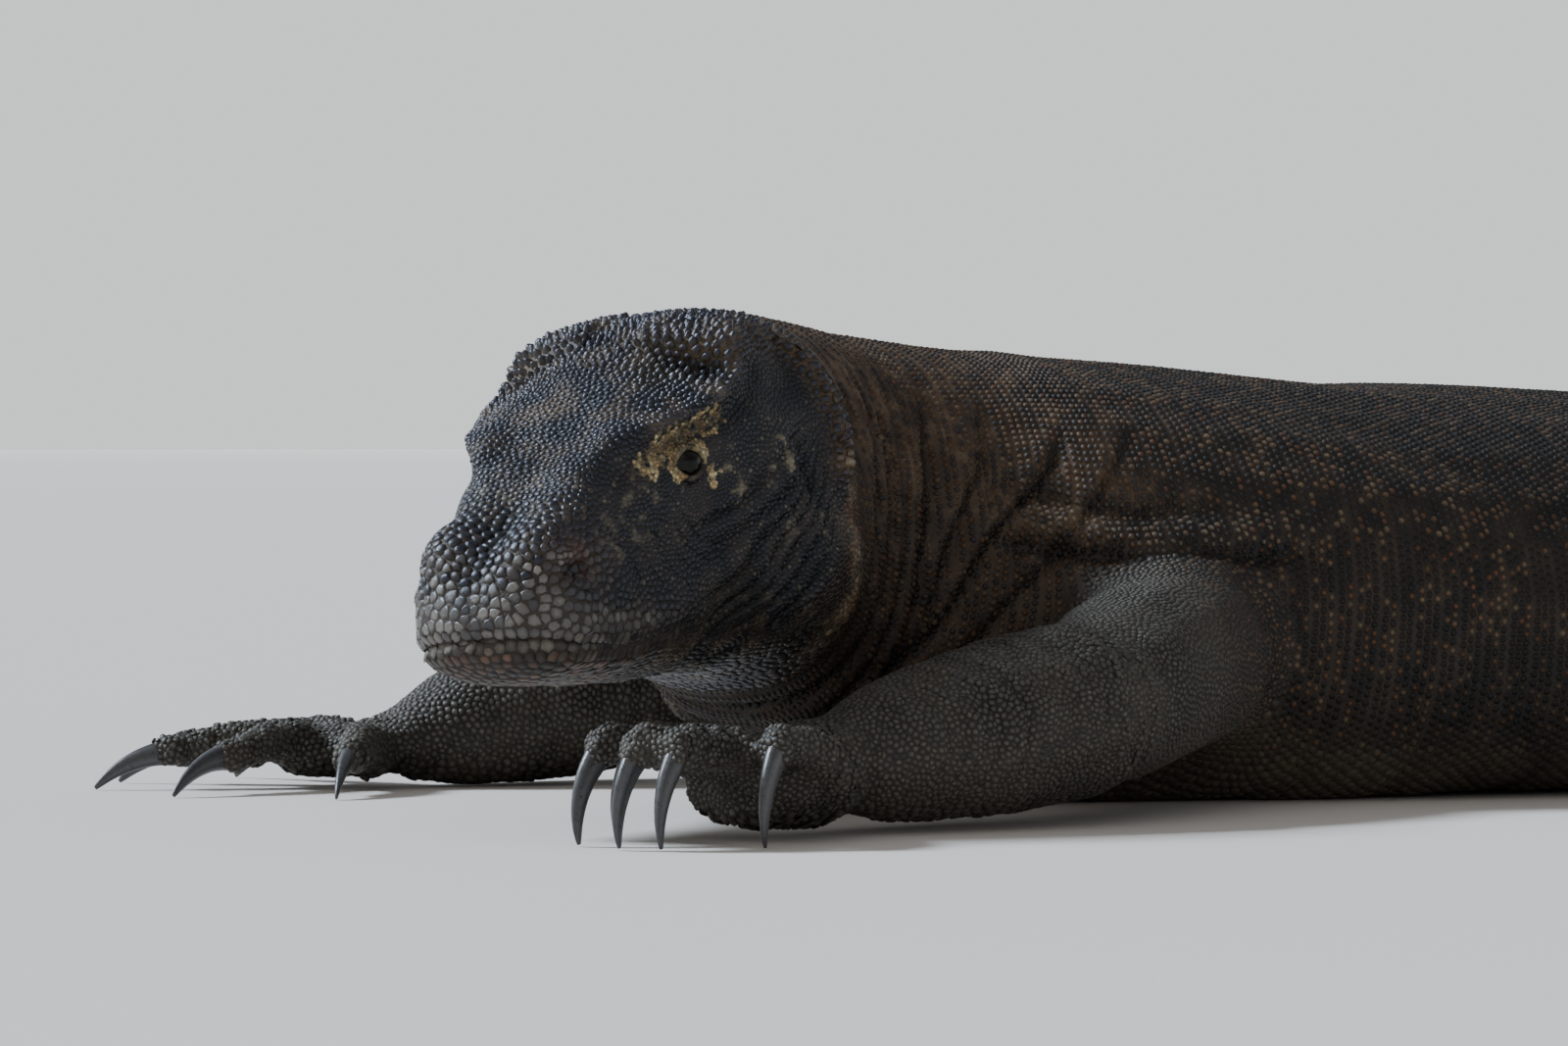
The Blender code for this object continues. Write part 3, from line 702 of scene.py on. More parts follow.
def body_rows(skin):
    """Roots in rings round the neck, trunk and tail, and their widths. Past the neck the rows alternate."""
    roots, sizes = [], []
    for row, u in enumerate(row_places()):
        ring, on_body = body_ring(skin, u)
        for way in (1, -1):
            order = np.arange(RAYS // 2 + 1) * way % RAYS
            half = ring[order]
            step = np.linalg.norm(np.diff(half, axis=0), axis=1)
            belly = 1 - ease((half[1:, 2] + half[:-1, 2]) / 2, 0.004, 0.030)
            size = float(scale_width(u)) * (1 + 0.9 * belly)
            count = np.concatenate([[0], np.cumsum(step / size)])
            shift = 0.5 * (row % 2) * float(ease(u, 0.38, 0.44))        # the neck's scales stand in a grid
            first = shift if shift or way == 1 else 1.0                # the midline's scale is placed once
            wanted = np.arange(first, count[-1] - 0.3, 1.0)
            keep = np.interp(wanted, count, on_body[order].astype(float)) > 0.5
            roots.append(along_path(wanted, count, half)[keep])
            sizes.append(np.interp(wanted, count[1:], size)[keep])
    return np.concatenate(roots), np.concatenate(sizes)


def wanted_size(points, shares):
    """The width of a scale at each point, off the rows of the body."""
    head, body = SPINE.in_head(points), SPINE.along_body(points)
    u, _, above = head.T
    crown = 0.0027 + 0.0010 * ease(u, 0.120, 0.155)
    face = 0.0022 + (crown - 0.0022) * over_brow(head)
    face = face + (0.0043 - face) * (1 - ease(u, 0.034, 0.066))
    lips = near(line_distance(head, MOUTH_LINE)[0], 0, 0.0130) * (1 - ease(u, 0.060, 0.110))
    face = np.maximum(face, 0.0022 + 0.0022 * lips)
    face = np.where(above < -0.012, 0.0046 - 0.0020 * ease(u, 0.05, 0.12), face)
    face = np.where(above < -0.036, 0.0042, face)
    face = np.maximum(face * (0.52 + 0.48 * ease(eye_distance(points), 0.011, 0.026)), 0.0015)
    face = face * (1 - 0.45 * spot(mirrored(head), (0.0245, 0.029, 0.031), (0.006, 0.008, 0.005)))
    face = face + (0.0046 - face) * np.clip(1.3 * on_rim(head, 0.0040), 0, 1) * ease(above, 0.012, 0.028)
    limb = 0.0025 - 0.0002 * shares[:, 3] + 0.0003 * (body[:, 1] < 0) + 0.0016 * (points[:, 2] < 0.012)
    limb = limb + (0.0015 - 0.0009 * shares[:, 3]) * (body[:, 0] > 0.55)
    return np.where(shares[:, 2] > 0.5, limb, np.where(shares[:, 0] > 0.5, face, 0.0048))


SNOUT_CENTRE = 0.050      # the rows of lip scales go round this place, behind the snout's tip
MOUTH_REACH = 0.040       # and run on this far along each side
SNOUT_TURN = 2.2          # one part in so many of a row goes round the snout


def mouth_rows(skin):
    """A row of lip scales above the mouth and one below it, round the snout from side to side."""
    mouth_height = profile(*MOUTH_LINE)
    roots, sizes = [], []
    for offset, width, start in ((0.0030, 0.0046, 0.25), (-0.0030, 0.0044, 0.75)):
        path = []
        for way in np.linspace(-1, 1, 181):
            turn = np.clip(way * SNOUT_TURN, -1, 1) * math.pi / 2
            u = SNOUT_CENTRE + max(abs(way) * SNOUT_TURN - 1, 0) / (SNOUT_TURN - 1) * MOUTH_REACH
            guess = SNOUT_CENTRE
            for _ in range(2):
                above = mouth_height(guess) + offset
                ahead = (u - math.cos(turn), math.sin(turn), above)
                inner, outer = SPINE.head_points([(u, 0, above), ahead])
                hit = skin.tree.ray_cast(Vector(inner), Vector(unit(outer - inner)))[0]
                if hit is None:
                    break
                guess = SPINE.in_head(np.array(hit)[None])[0, 0]
            if hit is not None:
                path.append(hit)
        path = np.array(path)
        along = np.concatenate([[0], np.cumsum(np.linalg.norm(np.diff(path, axis=0), axis=1))])
        wanted = np.arange(width * start, along[-1], width)
        roots.append(along_path(wanted, along, path))
        sizes.append(np.full(len(wanted), width))
    return np.concatenate(roots), np.concatenate(sizes)


def sample_skin(skin, chosen):
    """Random points on the chosen faces and their scales' widths, with more points for small scales."""
    rng = np.random.default_rng(SAMPLE_SEED)
    corners = skin.points[skin.corners[chosen]]
    tris = np.concatenate([corners[:, [0, 1, 2]], corners[:, [0, 2, 3]]])
    area = np.linalg.norm(np.cross(tris[:, 1] - tris[:, 0], tris[:, 2] - tris[:, 0]), axis=1) / 2
    middles = tris.mean(1)
    size = wanted_size(middles, skin.shares[[skin.near_points.find(point)[1] for point in middles]])
    count = area / (0.8 * size ** 2) * CROWDING
    count = (count + rng.random(len(count))).astype(int)
    picked = np.repeat(np.arange(len(tris)), count)
    a, b = rng.random((2, len(picked)))
    flip = a + b > 1
    a, b = np.where(flip, 1 - a, a), np.where(flip, 1 - b, b)
    t = tris[picked]
    return t[:, 0] + a[:, None] * (t[:, 1] - t[:, 0]) + b[:, None] * (t[:, 2] - t[:, 0]), size[picked]


def scatter(skin, seeds, seed_sizes):
    """Evenly spread roots over the head, limbs and paws, in the room that the seeds leave."""
    off_body = skin.shares[skin.corners].mean(1)[:, 1] < 0.5
    points, sizes = sample_skin(skin, off_body)
    tree = tree_of(points)
    alive = np.ones(len(points), bool)

    def clear_round(place, size):
        for _, index, _ in tree.find_range(place, ROOT_ROOM * size):
            alive[index] = False

    for seed, size in zip(seeds, seed_sizes):
        clear_round(seed, size)
    accepted = []
    for i in np.random.default_rng(ORDER_SEED).permutation(len(points)):
        if alive[i]:
            accepted.append(i)
            clear_round(points[i], sizes[i])
    roots = points[accepted]
    for _ in range(3):                  # each root moves to the middle of the points that are nearest to it
        everyone = np.concatenate([roots, seeds])
        nearest = tree_of(everyone)
        owner = np.array([nearest.find(point)[1] for point in points])
        count = np.bincount(owner, minlength=len(everyone))[:len(roots), None]
        total = np.stack([np.bincount(owner, axis, len(everyone)) for axis in points.T], 1)[:len(roots)]
        roots = np.where(count > 2, total / np.maximum(count, 1), roots)
    return roots, sizes[accepted]


# ---------------------------------------------------------------- the scales' shapes
CORNERS = 6               # corners of a scale's outline
NEIGHBOURS = 12
WIDEST = 0.792            # a scale's furthest reach, as a share of its width
GROUND = 0.0003           # nothing reaches lower
ROOTED = 0.00025          # how deep a scale's rim is sunk in the skin
PATCH = 0.0015            # half the width of a scale's patch on the map OFBake
CORNER_TURNS = [2 * math.pi * (k + 0.5) / CORNERS for k in range(CORNERS)]


def flow(places, normals):
    """The way each scale lies: backwards along the body, and down the limbs."""
    behind = SPINE.along_body(places)[:, 0]
    way = SPINE.back[np.clip(np.round(behind / LENGTH * SPINE_STEPS).astype(int), 0, SPINE_STEPS)]
    return unit(way - dot(way, normals)[:, None] * normals)


def outlines(places, normals, sizes):
    """The reach of each scale in each direction of its own plane, up to halfway to its neighbours."""
    tree = tree_of(places)
    others = np.empty((len(places), NEIGHBOURS), int)
    for i, place in enumerate(places):
        found = [index for _, index, _ in tree.find_n(place, NEIGHBOURS + 1) if index != i]
        others[i] = found[:NEIGHBOURS]
    across = unit(np.cross(normals, flow(places, normals)))
    along = np.cross(across, normals)
    away = places[others] - places[:, None]
    sideways, forwards = dot(away, across[:, None]), dot(away, along[:, None])
    half = (away ** 2).sum(2) / 2
    # a small scale beside a large one yields: the line between them moves towards it
    lean = 2 * sizes[:, None] / (sizes[:, None] + sizes[others])
    reach = np.empty((len(places), CORNERS))
    for k, turn in enumerate(CORNER_TURNS):
        toward = sideways * math.cos(turn) + forwards * math.sin(turn)
        limit = np.where(toward > 1e-6, half * lean / np.maximum(toward, 1e-6), FAR)
        reach[:, k] = limit.min(1)
    return {"reach": np.minimum(reach, WIDEST * sizes[:, None]), "across": across, "along": along}


def ring_faces(sides, rings):
    """The faces between rings of so many points each."""
    return [(ring + k, ring + (k + 1) % sides, ring + sides + (k + 1) % sides, ring + sides + k)
            for ring in range(0, sides * (rings - 1), sides) for k in range(sides)]


def grow(name, roots, chart, rings):
    """One mesh of scales: each a low dome with so many rings, open below, its rim sunk in the skin."""
    count, top = len(chart), CORNERS * rings
    rng = np.random.default_rng(count)
    cone, height = roots["cone"], roots["height"][:, None]
    lean = (roots["lean"] * roots["size"])[:, None]
    levels = [(np.ones(count), -ROOTED / height[:, 0], 0.0),      # (how far out, how high, how tinted)
              (0.91 - 0.17 * cone, 0.70 - 0.22 * cone, 0.55),
              (0.58 - 0.14 * cone, 0.95 - 0.12 * cone, 0.95)][:rings]
    points = np.empty((count, top + 1, 3))
    colours = np.empty((count, top + 1, 3))
    patch = np.zeros((count, top + 1, 2))
    for level, (out, rise, tinted) in enumerate(levels):
        for k, turn in enumerate(CORNER_TURNS):
            reach = roots["reach"][:, k] * roots["fill"] * out
            if level:
                reach = reach * rng.uniform(0.93, 1.05, count)
            x, y = reach * math.cos(turn), reach * math.sin(turn) * roots["slim"]
            y = y[:, None] + lean * np.maximum(rise, 0)[:, None]
            v = level * CORNERS + k
            points[:, v] = roots["place"] + x[:, None] * roots["across"] + y * roots["along"] \
                + rise[:, None] * height * roots["normal"]
            colours[:, v] = roots["rim"] + tinted * (roots["tint"] - roots["rim"])
            patch[:, v] = PATCH * (out - 0.1 * level)[:, None] * (math.cos(turn), math.sin(turn))
    points[:, top] = roots["place"] + height * roots["normal"] + lean * roots["along"]
    # each scale's apex takes its tip colour, paler than its rim: partly worn tips, partly a painted
    # highlight
    colours[:, top] = roots["tip"]
    points[:, :, 2] = np.maximum(points[:, :, 2], GROUND)

    last = top - CORNERS
    faces = ring_faces(CORNERS, rings)
    faces += [(last + k, last + (k + 1) % CORNERS, top) for k in range(CORNERS)]
    lengths = np.tile([len(face) for face in faces], count)
    loops = (np.arange(count)[:, None] * (top + 1) + np.concatenate(faces)).ravel()
    mesh = bpy.data.meshes.new(name)
    mesh.vertices.add(count * (top + 1))
    mesh.vertices.foreach_set("co", points.astype(np.float32).ravel())
    mesh.loops.add(len(loops))
    mesh.loops.foreach_set("vertex_index", loops.astype(np.int32))
    mesh.polygons.add(len(lengths))
    mesh.polygons.foreach_set("loop_start", (np.cumsum(lengths) - lengths).astype(np.int32))
    mesh.update(calc_edges=True)
    mesh.shade_smooth()
    paint_mesh(mesh, colours.reshape(-1, 3))
    spread = np.clip((chart[:, None] + patch).reshape(-1, 2)[loops], 0, 1)
    mesh.uv_layers.new(name="OFBake").data.foreach_set("uv", spread.astype(np.float32).ravel())
    return add_object(name, mesh)


def unwrap(nodes):
    """The nodes' solids laid flat: a tree of their faces, the faces' corners and those on the chart."""
    points, faces, _ = joined_solids(nodes)
    mesh = mesh_of("chart", points, faces)
    edit(mesh, lambda bm: bmesh.ops.triangulate(bm, faces=bm.faces))
    flat = add_object("chart", mesh)
    bpy.context.view_layer.objects.active = flat
    flat.select_set(True)
    bpy.ops.object.mode_set(mode="EDIT")
    bpy.ops.mesh.select_all(action="SELECT")
    bpy.ops.uv.smart_project(angle_limit=math.radians(80), island_margin=0.004)
    bpy.ops.object.mode_set(mode="OBJECT")
    chart = read_array(mesh.uv_layers.active.data, "uv", 2).reshape(-1, 3, 2)
    corners = read_array(mesh.loops, "vertex_index", 1, np.int32).reshape(-1, 3)
    points = read_points(mesh)
    tree = bvhtree.BVHTree.FromPolygons(points.tolist(), corners.tolist())
    bpy.data.objects.remove(flat)
    bpy.data.meshes.remove(mesh)
    return tree, points[corners], np.pad(chart, ((0, 0), (0, 0), (0, 1)))


def chart_places(places, laid_flat):
    """Where each root falls on the unwrap of the solids under it."""
    tree, corners, chart = laid_flat
    out = np.empty((len(places), 2))
    for i, place in enumerate(places):
        hit, _, face, _ = tree.find_nearest(Vector(place))
        out[i] = barycentric_transform(hit, *map(Vector, corners[face]), *map(Vector, chart[face]))[:2]
    return 0.002 + 0.996 * np.clip(out, 0, 1)


# ---------------------------------------------------------------- markings, the same on skin and scales
# the slate scales' colour, and their tips' colour: paler and bluer, partly worn tips and partly a painted
# bluish sky reflection
SLATE, SLATE_TIP_AND_SKY_SHEEN = (0.0072, 0.0072, 0.0128), np.array((0.0165, 0.0172, 0.0340))
TAN_SKIN, BROWN_SKIN = (0.140, 0.102, 0.066), (0.042, 0.031, 0.023)
OCHRE, AMBER, FLECK = (0.700, 0.560, 0.300), (0.520, 0.340, 0.140), (0.270, 0.225, 0.145)
LIP, LIP_DARK = np.array((0.135, 0.122, 0.102)), (0.022, 0.019, 0.018)
JAW, JAW_DARK, PINK = (0.070, 0.040, 0.021), (0.013, 0.009, 0.006), (0.115, 0.044, 0.021)
JAW_TAN, CROWN_TAN = (0.290, 0.215, 0.130), (0.088, 0.064, 0.043)
CHEEK, CHEEK_TIP = (0.0082, 0.0078, 0.0083), (0.0105, 0.0102, 0.0115)
NECK_SKIN, RUST, NECK_TAN = (0.034, 0.021, 0.013), (0.125, 0.052, 0.020), np.array((0.145, 0.098, 0.054))
NECK_BEAD, NECK_TIP = (0.013, 0.012, 0.013), (0.030, 0.029, 0.033)
NECK_EARTH, NECK_CLAY = (0.086, 0.045, 0.024), (0.105, 0.070, 0.042)
TRUNK, TRUNK_TIP = (0.0070, 0.0058, 0.0052), (0.0105, 0.0091, 0.0090)
# the paler, bluish colour painted on upward-facing scale tips as a highlight, and the tan of the shoulder's
# row
BACK_PAINTED_HIGHLIGHT, ROW_TAN = (0.0145, 0.0135, 0.0155), (0.24, 0.20, 0.13)
LIMB, LIMB_TIP = (0.052, 0.045, 0.034), (0.100, 0.090, 0.070)
BELLY, TAIL_BAND = (0.085, 0.072, 0.052), (0.045, 0.034, 0.024)
OCHRE_BROW = ((0.0900, 0.0500), (0.100, 0.0560), (0.118, 0.0590), (0.132, 0.0610))      # (behind, above)
BALLS = {word: eye_frame(word)[0] for word in SIDES}
SKIN_SEED, MARK_SEED, STYLE_SEED = 20, 21, 22


def mix(a, b, share):
    """Colours a turned towards b by the share at each point."""
    a, b = np.atleast_2d(a), np.atleast_2d(b)
    return a + (b - a) * np.atleast_1d(share)[:, None]


def limited(value):
    """The value kept between 0 and 1."""
    return np.clip(value, 0, 1)


class Paint:
    """Colours at each point: of the skin between scales, of the scales and of the scales' tips, which are
    paler partly from wear and partly as a painted highlight.
    """

    def __init__(self, skin, scale, tip):
        self.skin, self.scale, self.tip = skin, scale, tip

    def turn(self, colour, **shares):
        """Turns each named part towards the colour by its share."""
        for part, share in shares.items():
            setattr(self, part, mix(getattr(self, part), colour, share))

    def times(self, factor):
        for part in ("skin", "scale", "tip"):
            setattr(self, part, getattr(self, part) * factor[:, None])


def lip_share(head):
    """1 on the large flat scales round the mouth, above and below it."""
    u, _, above = head.T
    gap, side = line_distance(head, MOUTH_LINE)
    over = gap * side - (0.0210 - 0.16 * np.clip(u, 0, 0.08))
    return (1 - ease(over, -0.003, 0.003)) * (1 - ease(u, 0.062, 0.094)) * ease(above, -0.042, -0.032)


def muzzle_share(head, start, end):
    """1 on the snout's tip above the lips."""
    return (1 - ease(head[:, 0], start, end)) * ease(head[:, 2], 0.014, 0.026)


def paint_crown(paint, points, head, top, rim, luck):
    """Slate scales over tan skin, with worn and earth-coloured streaks, and a painted highlight on the
    crown's scale tips.
    """
    broad, patchy, small = patches(points)
    u = head[:, 0]
    paint.turn(TAN_SKIN, skin=0.7 * top * limited(0.25 + 0.7 * patchy) * ease(u, 0.06, 0.11))
    paint.turn(TAN_SKIN, skin=0.40 * rim)
    # painted highlight: the crown's scale tips are painted several times paler behind the brow, where sky
    # light falls on the head's top
    crown_painted_highlight = (0.75 + 2.85 * ease(u, 0.080, 0.115))[:, None]
    slate = np.maximum(top, rim)
    paint.turn(SLATE, scale=slate)
    paint.turn(SLATE_TIP_AND_SKY_SHEEN * crown_painted_highlight, tip=slate)
    worn = spot(mirrored(head), (0.1360, 0.0270, 0.0840), (0.0080, 0.0100, 0.0120)) * (0.75 + 0.5 * small)
    paint.turn(TAN_SKIN, scale=0.8 * worn, tip=0.9 * worn)
    streak = top * (1 - rim) * ease(patchy + 0.5 * broad, 0.05, 0.60)
    streak = streak * ease(u, 0.085, 0.115) * (1 - ease(u, 0.165, 0.19))
    paint.turn(CROWN_TAN, scale=0.6 * streak * (luck[0] < 0.65), tip=0.6 * streak * (luck[0] < 0.5))


def paint_mouth(paint, points, head, lip, luck):
    """Slate muzzle, pale lips above the mouth, brown and pink ones below it, and the throat."""
    _, patchy, small = patches(points)
    u, _, above = head.T
    muzzle = muzzle_share(head, 0.045, 0.080)
    paint.turn(SLATE, scale=muzzle)
    paint.turn(0.45 * SLATE_TIP_AND_SKY_SHEEN, tip=muzzle)
    paint.turn(TAN_SKIN, skin=0.16 * muzzle)
    gap, over = line_distance(head, MOUTH_LINE)
    jaw = ease(-gap * over, 0.0015, 0.0080)
    worn = 0.72 - 0.42 * ease(u, 0.018, 0.048) + 0.30 * small + 0.35 * patchy + 0.55 * (luck[1] - 0.5)
    upper = mix(LIP_DARK, LIP, limited(worn) ** 1.4)
    chin = mix(JAW_DARK, mix(JAW, PINK, limited(0.4 + 0.7 * patchy)),
               limited(0.45 + 0.55 * small + 0.8 * (luck[1] - 0.5)))
    pale = mix(upper, chin, jaw)
    paint.turn(pale, scale=lip)
    paint.turn(pale * 1.1, tip=lip)
    paint.turn(mix(BROWN_SKIN, JAW_DARK, jaw), skin=0.85 * lip)
    throat = (1 - ease(above, -0.034, -0.012)) * ease(u, 0.05, 0.09)
    loose_skin = mix(TRUNK, JAW, limited(0.10 + 0.5 * patchy + 0.4 * (luck[1] - 0.5)))
    paint.turn(loose_skin, scale=throat)
    paint.turn(1.2 * loose_skin, tip=throat)
    paint.turn(mix(TRUNK, NECK_TAN, limited(0.1 + 0.4 * patchy)), skin=throat)
    # painted shade: below the jaw and along the throat, behind the chin, everything is darker, by up to
    # about a half
    paint.times(1 - 0.55 * (1 - ease(above, -0.050, -0.010)) * ease(u, 0.080, 0.120))
    nostril = spot(mirrored(head), (0.0310, 0.0310, 0.0270), (0.0060, 0.0080, 0.0055))
    paint.turn(PINK, scale=0.55 * nostril, skin=0.6 * nostril)
    pale_row = spot(mirrored(head), (0.0150, 0.0250, 0.0260), (0.0160, 0.0200, 0.0045)) * (luck[2] < 0.45)
    paint.turn(1.7 * LIP, scale=0.8 * pale_row, tip=0.9 * pale_row)


def paint_ochre(paint, points, head, luck):
    """The ochre band over and round the eye, marbled with darker lines."""
    u, wide, above = mirrored(head).T
    small = patches(points)[2]
    ochre = near(line_distance(head, OCHRE_BROW)[0], 0, 0.0040) * (wide > 0.02)
    ring = near(eye_distance(points, BALLS), 0.0104, 0.0014) * ease(above - 0.5 * (u - EYE_U), 0.043, 0.048)
    ochre = np.maximum(ochre, 1.2 * ring)
    ochre = np.maximum(ochre, 0.9 * spot(mirrored(head), (0.1215, 0.0500, 0.0390), (0.0030, 0.02, 0.0036)))
    mottle = 0.3 * small + 0.7 * waves(points, 0.0042, 74)
    ochre = ease(ochre * (1 + 0.95 * mottle), 0.38, 0.54)
    marble = near(waves(points, 0.0075, 77) + 0.25 * mottle, 0, 0.16)
    yellow = mix(OCHRE, AMBER, limited(0.25 + 0.8 * small)) * (1 - 0.62 * marble)[:, None]
    paint.turn(yellow, scale=0.92 * ochre * (luck[1] < 0.93))
    paint.turn(1.1 * yellow, tip=ochre * (luck[1] < 0.9))
    paint.turn(0.62 * yellow, skin=0.85 * ochre)


def paint_cheek(paint, points, head, bare, luck):
    """Broken pale threads and flecks on the bare sides, most of them behind the eye."""
    u, _, above = head.T
    flecked = ease(u, 0.124, 0.134) * (1 - ease(u, 0.160, 0.180)) * near(above, 0.042, 0.013)
    sides = bare * ease(u, 0.040, 0.060) * (u < 0.2)
    threads = near(waves(points, 0.015, 81), 0, 0.19) * ease(waves(points, 0.028, 82), 0.0, 0.4)
    threads = threads * ease(waves(points, 0.008, 83), -0.15, 0.20)
    threads = sides * threads * (0.35 + 0.65 * flecked)
    paint.turn(FLECK, skin=0.85 * threads, scale=0.85 * threads, tip=0.95 * threads)
    fleck = (luck[2] < 0.015 + 0.07 * flecked) * sides
    paint.turn(FLECK, scale=0.35 * fleck, tip=0.55 * fleck)


def head_marks(points, luck):
    """Crown, mouth, ochre round the eye and cheek over dark slate, with a few brown scales."""
    head = SPINE.in_head(points)
    u, _, above = head.T
    patchy = patches(points)[1]
    top = over_brow(head) * ease(u, 0.03, 0.06)
    rim = on_rim(head, 0.0052) * ease(above, 0.018, 0.032)
    lip = lip_share(head)
    paint = Paint(mix(CHEEK, BROWN_SKIN, limited(0.40 * patchy + 0.20)), CHEEK, CHEEK_TIP)
    paint_crown(paint, points, head, top, rim, luck)
    paint_mouth(paint, points, head, lip, luck)
    paint_ochre(paint, points, head, luck)
    paint_cheek(paint, points, head, (1 - top) * (1 - lip) * (1 - rim), luck)
    brown = (luck[2] > 0.80 - 0.20 * patchy) * (1 - lip) * (1 - rim)
    paint.turn(NECK_TAN, tip=0.35 * brown)
    paint.turn(BROWN_SKIN, scale=0.8 * brown)
    return paint


def body_marks(points, normals, luck):
    """Neck, trunk and tail: dark beads with rust and tan ones among them over earth-coloured skin."""
    u, _, above = SPINE.along_body(points).T
    broad, patchy, small = patches(points)
    neck = 1 - ease(u + 0.04 * broad, 0.33, 0.46)
    upper = ease(above, -0.01, 0.04)
    warm = limited(0.40 + 0.5 * patchy + 0.4 * small) * (0.30 + 0.70 * upper) * ease(u, 0.215, 0.250)
    earth = mix(NECK_EARTH, NECK_CLAY, limited(0.5 + 0.6 * small))
    skin = mix(mix(TRUNK, NECK_SKIN, 0.5 + 0.4 * patchy), mix(NECK_SKIN, earth, warm), neck)
    paint = Paint(skin, mix(TRUNK, NECK_BEAD, neck), mix(TRUNK_TIP, NECK_TIP, neck))
    dots = luck[0] < 0.30 + 0.20 * neck + 0.16 * broad
    dot_colour = mix(RUST, NECK_TAN, limited(luck[1] * 1.2 - 0.1 + 0.4 * patchy))
    dot_colour = dot_colour * (1 - 0.35 * neck)[:, None]
    paint.turn(dot_colour, scale=(0.40 + 0.35 * neck) * dots)
    paint.turn(1.05 * dot_colour, tip=0.85 * dots)
    shoulder = near(above, 0.030 + 0.05 * (u - 0.344), 0.0075) * ease(u, 0.340, 0.36)
    shoulder = shoulder * (1 - ease(u, 0.44, 0.50))
    paint.turn(ROW_TAN, tip=0.85 * shoulder * (luck[2] < 0.40))
    # painted highlight: scale tips facing upward turn paler and bluish, as where sky light falls on the
    # back
    paint.turn(BACK_PAINTED_HIGHLIGHT, tip=0.8 * ease(normals[:, 2], 0.75, 0.97) * ~dots)
    # painted shade: on the neck, skin and scales that face downward are darker, by up to a half
    paint.times(1 - 0.5 * ease(-normals[:, 2], 0.0, 0.6) * (1 - ease(u, 0.30, 0.40)))
    under = ease(-normals[:, 2], 0.35, 0.85) * ease(u, 0.30, 0.48)
    paint.turn(BELLY, skin=0.6 * under, scale=0.7 * under, tip=0.7 * under)
    tail = ease(u, 1.15, 1.45)
    rings = ease(np.sin(2 * math.pi * u / 0.115 + 0.8 * broad), 0.2, 0.9)
    paint.turn(TAIL_BAND, scale=0.7 * tail * rings)
    paint.turn(NECK_TAN, tip=0.35 * tail * rings)
    return paint


def limb_marks(points, luck):
    """Grey-brown granules with a few dark and tan ones."""
    broad, patchy, small = patches(points)
    paint = Paint(mix(TRUNK, LIMB, 0.4 + 0.3 * broad), mix(LIMB, BROWN_SKIN, limited(0.15 + 0.4 * patchy)),
                  mix(LIMB_TIP, BROWN_SKIN, limited(0.30 + 0.4 * small)))
    dark = 0.55 * (luck[1] < 0.12)
    paint.turn(TRUNK, scale=dark, tip=dark)
    paint.turn(NECK_TAN, tip=0.5 * (luck[0] < 0.03))
    return paint


def jaw_band(body):
    """1 on the loose tan skin behind the jaw and below the ridge of large scales."""
    u, _, above = body.T
    centre = 0.201 + 0.24 * np.clip(-above, 0, 0.05) + 0.12 * np.clip(above, 0, 0.05)
    return near(u, centre, 0.0080) * (1 - ease(above, 0.026, 0.042)) * ease(above, -0.058, -0.036)


def marked(points, normals, shares, seed):
    """(skin between scales, scale, scale's tip) colours at each point, with luck drawn from the seed."""
    luck = np.random.default_rng(seed).random((3, len(points)))
    body = SPINE.along_body(points)
    head = (1 - ease(body[:, 0] + 0.003 * waves(points, 0.02, 75), 0.209, 0.216)) * (1 - shares[:, 2])
    limb = np.maximum(shares[:, 4], shares[:, 2] * (1 - ease(body[:, 0], 0.37, 0.45)))
    regions = ((head_marks(points, luck), head * (1 - limb)),
               (body_marks(points, normals, luck), (1 - head) * (1 - limb)),
               (limb_marks(points, luck), limb))
    paint = Paint(*(sum(getattr(region, part) * weight[:, None] for region, weight in regions)
                    for part in ("skin", "scale", "tip")))
    rim = on_rim(SPINE.in_head(points), 0.0048) * ease(body[:, 2], 0.018, 0.030) * (1 - limb)
    paint.turn(0.6 * NECK_TAN, skin=0.7 * rim)
    paint.turn(SLATE, scale=rim)
    paint.turn(SLATE_TIP_AND_SKY_SHEEN, tip=rim)
    band = jaw_band(body) * (1 - limb) * limited(0.75 + 0.6 * waves(points, 0.012, 76))
    tan = mix(RUST, JAW_TAN, limited(0.55 + 0.5 * patches(points)[1]))
    paint.turn(0.55 * tan, skin=band)
    paint.turn(tan, scale=band * (luck[2] < 0.75))
    paint.turn(1.15 * tan, tip=band * (luck[2] < 0.75))
    paint.scale *= (0.78 + 0.44 * luck[1])[:, None]
    paint.tip *= (0.76 + 0.48 * luck[2])[:, None]
    # painted shade: skin and scales are darker the deeper they lie in a fold
    paint.times(1 - 0.72 * creases(points, shares))
    return [np.clip(colour, 0.003, 0.9) for colour in (paint.skin, paint.scale, paint.tip)]


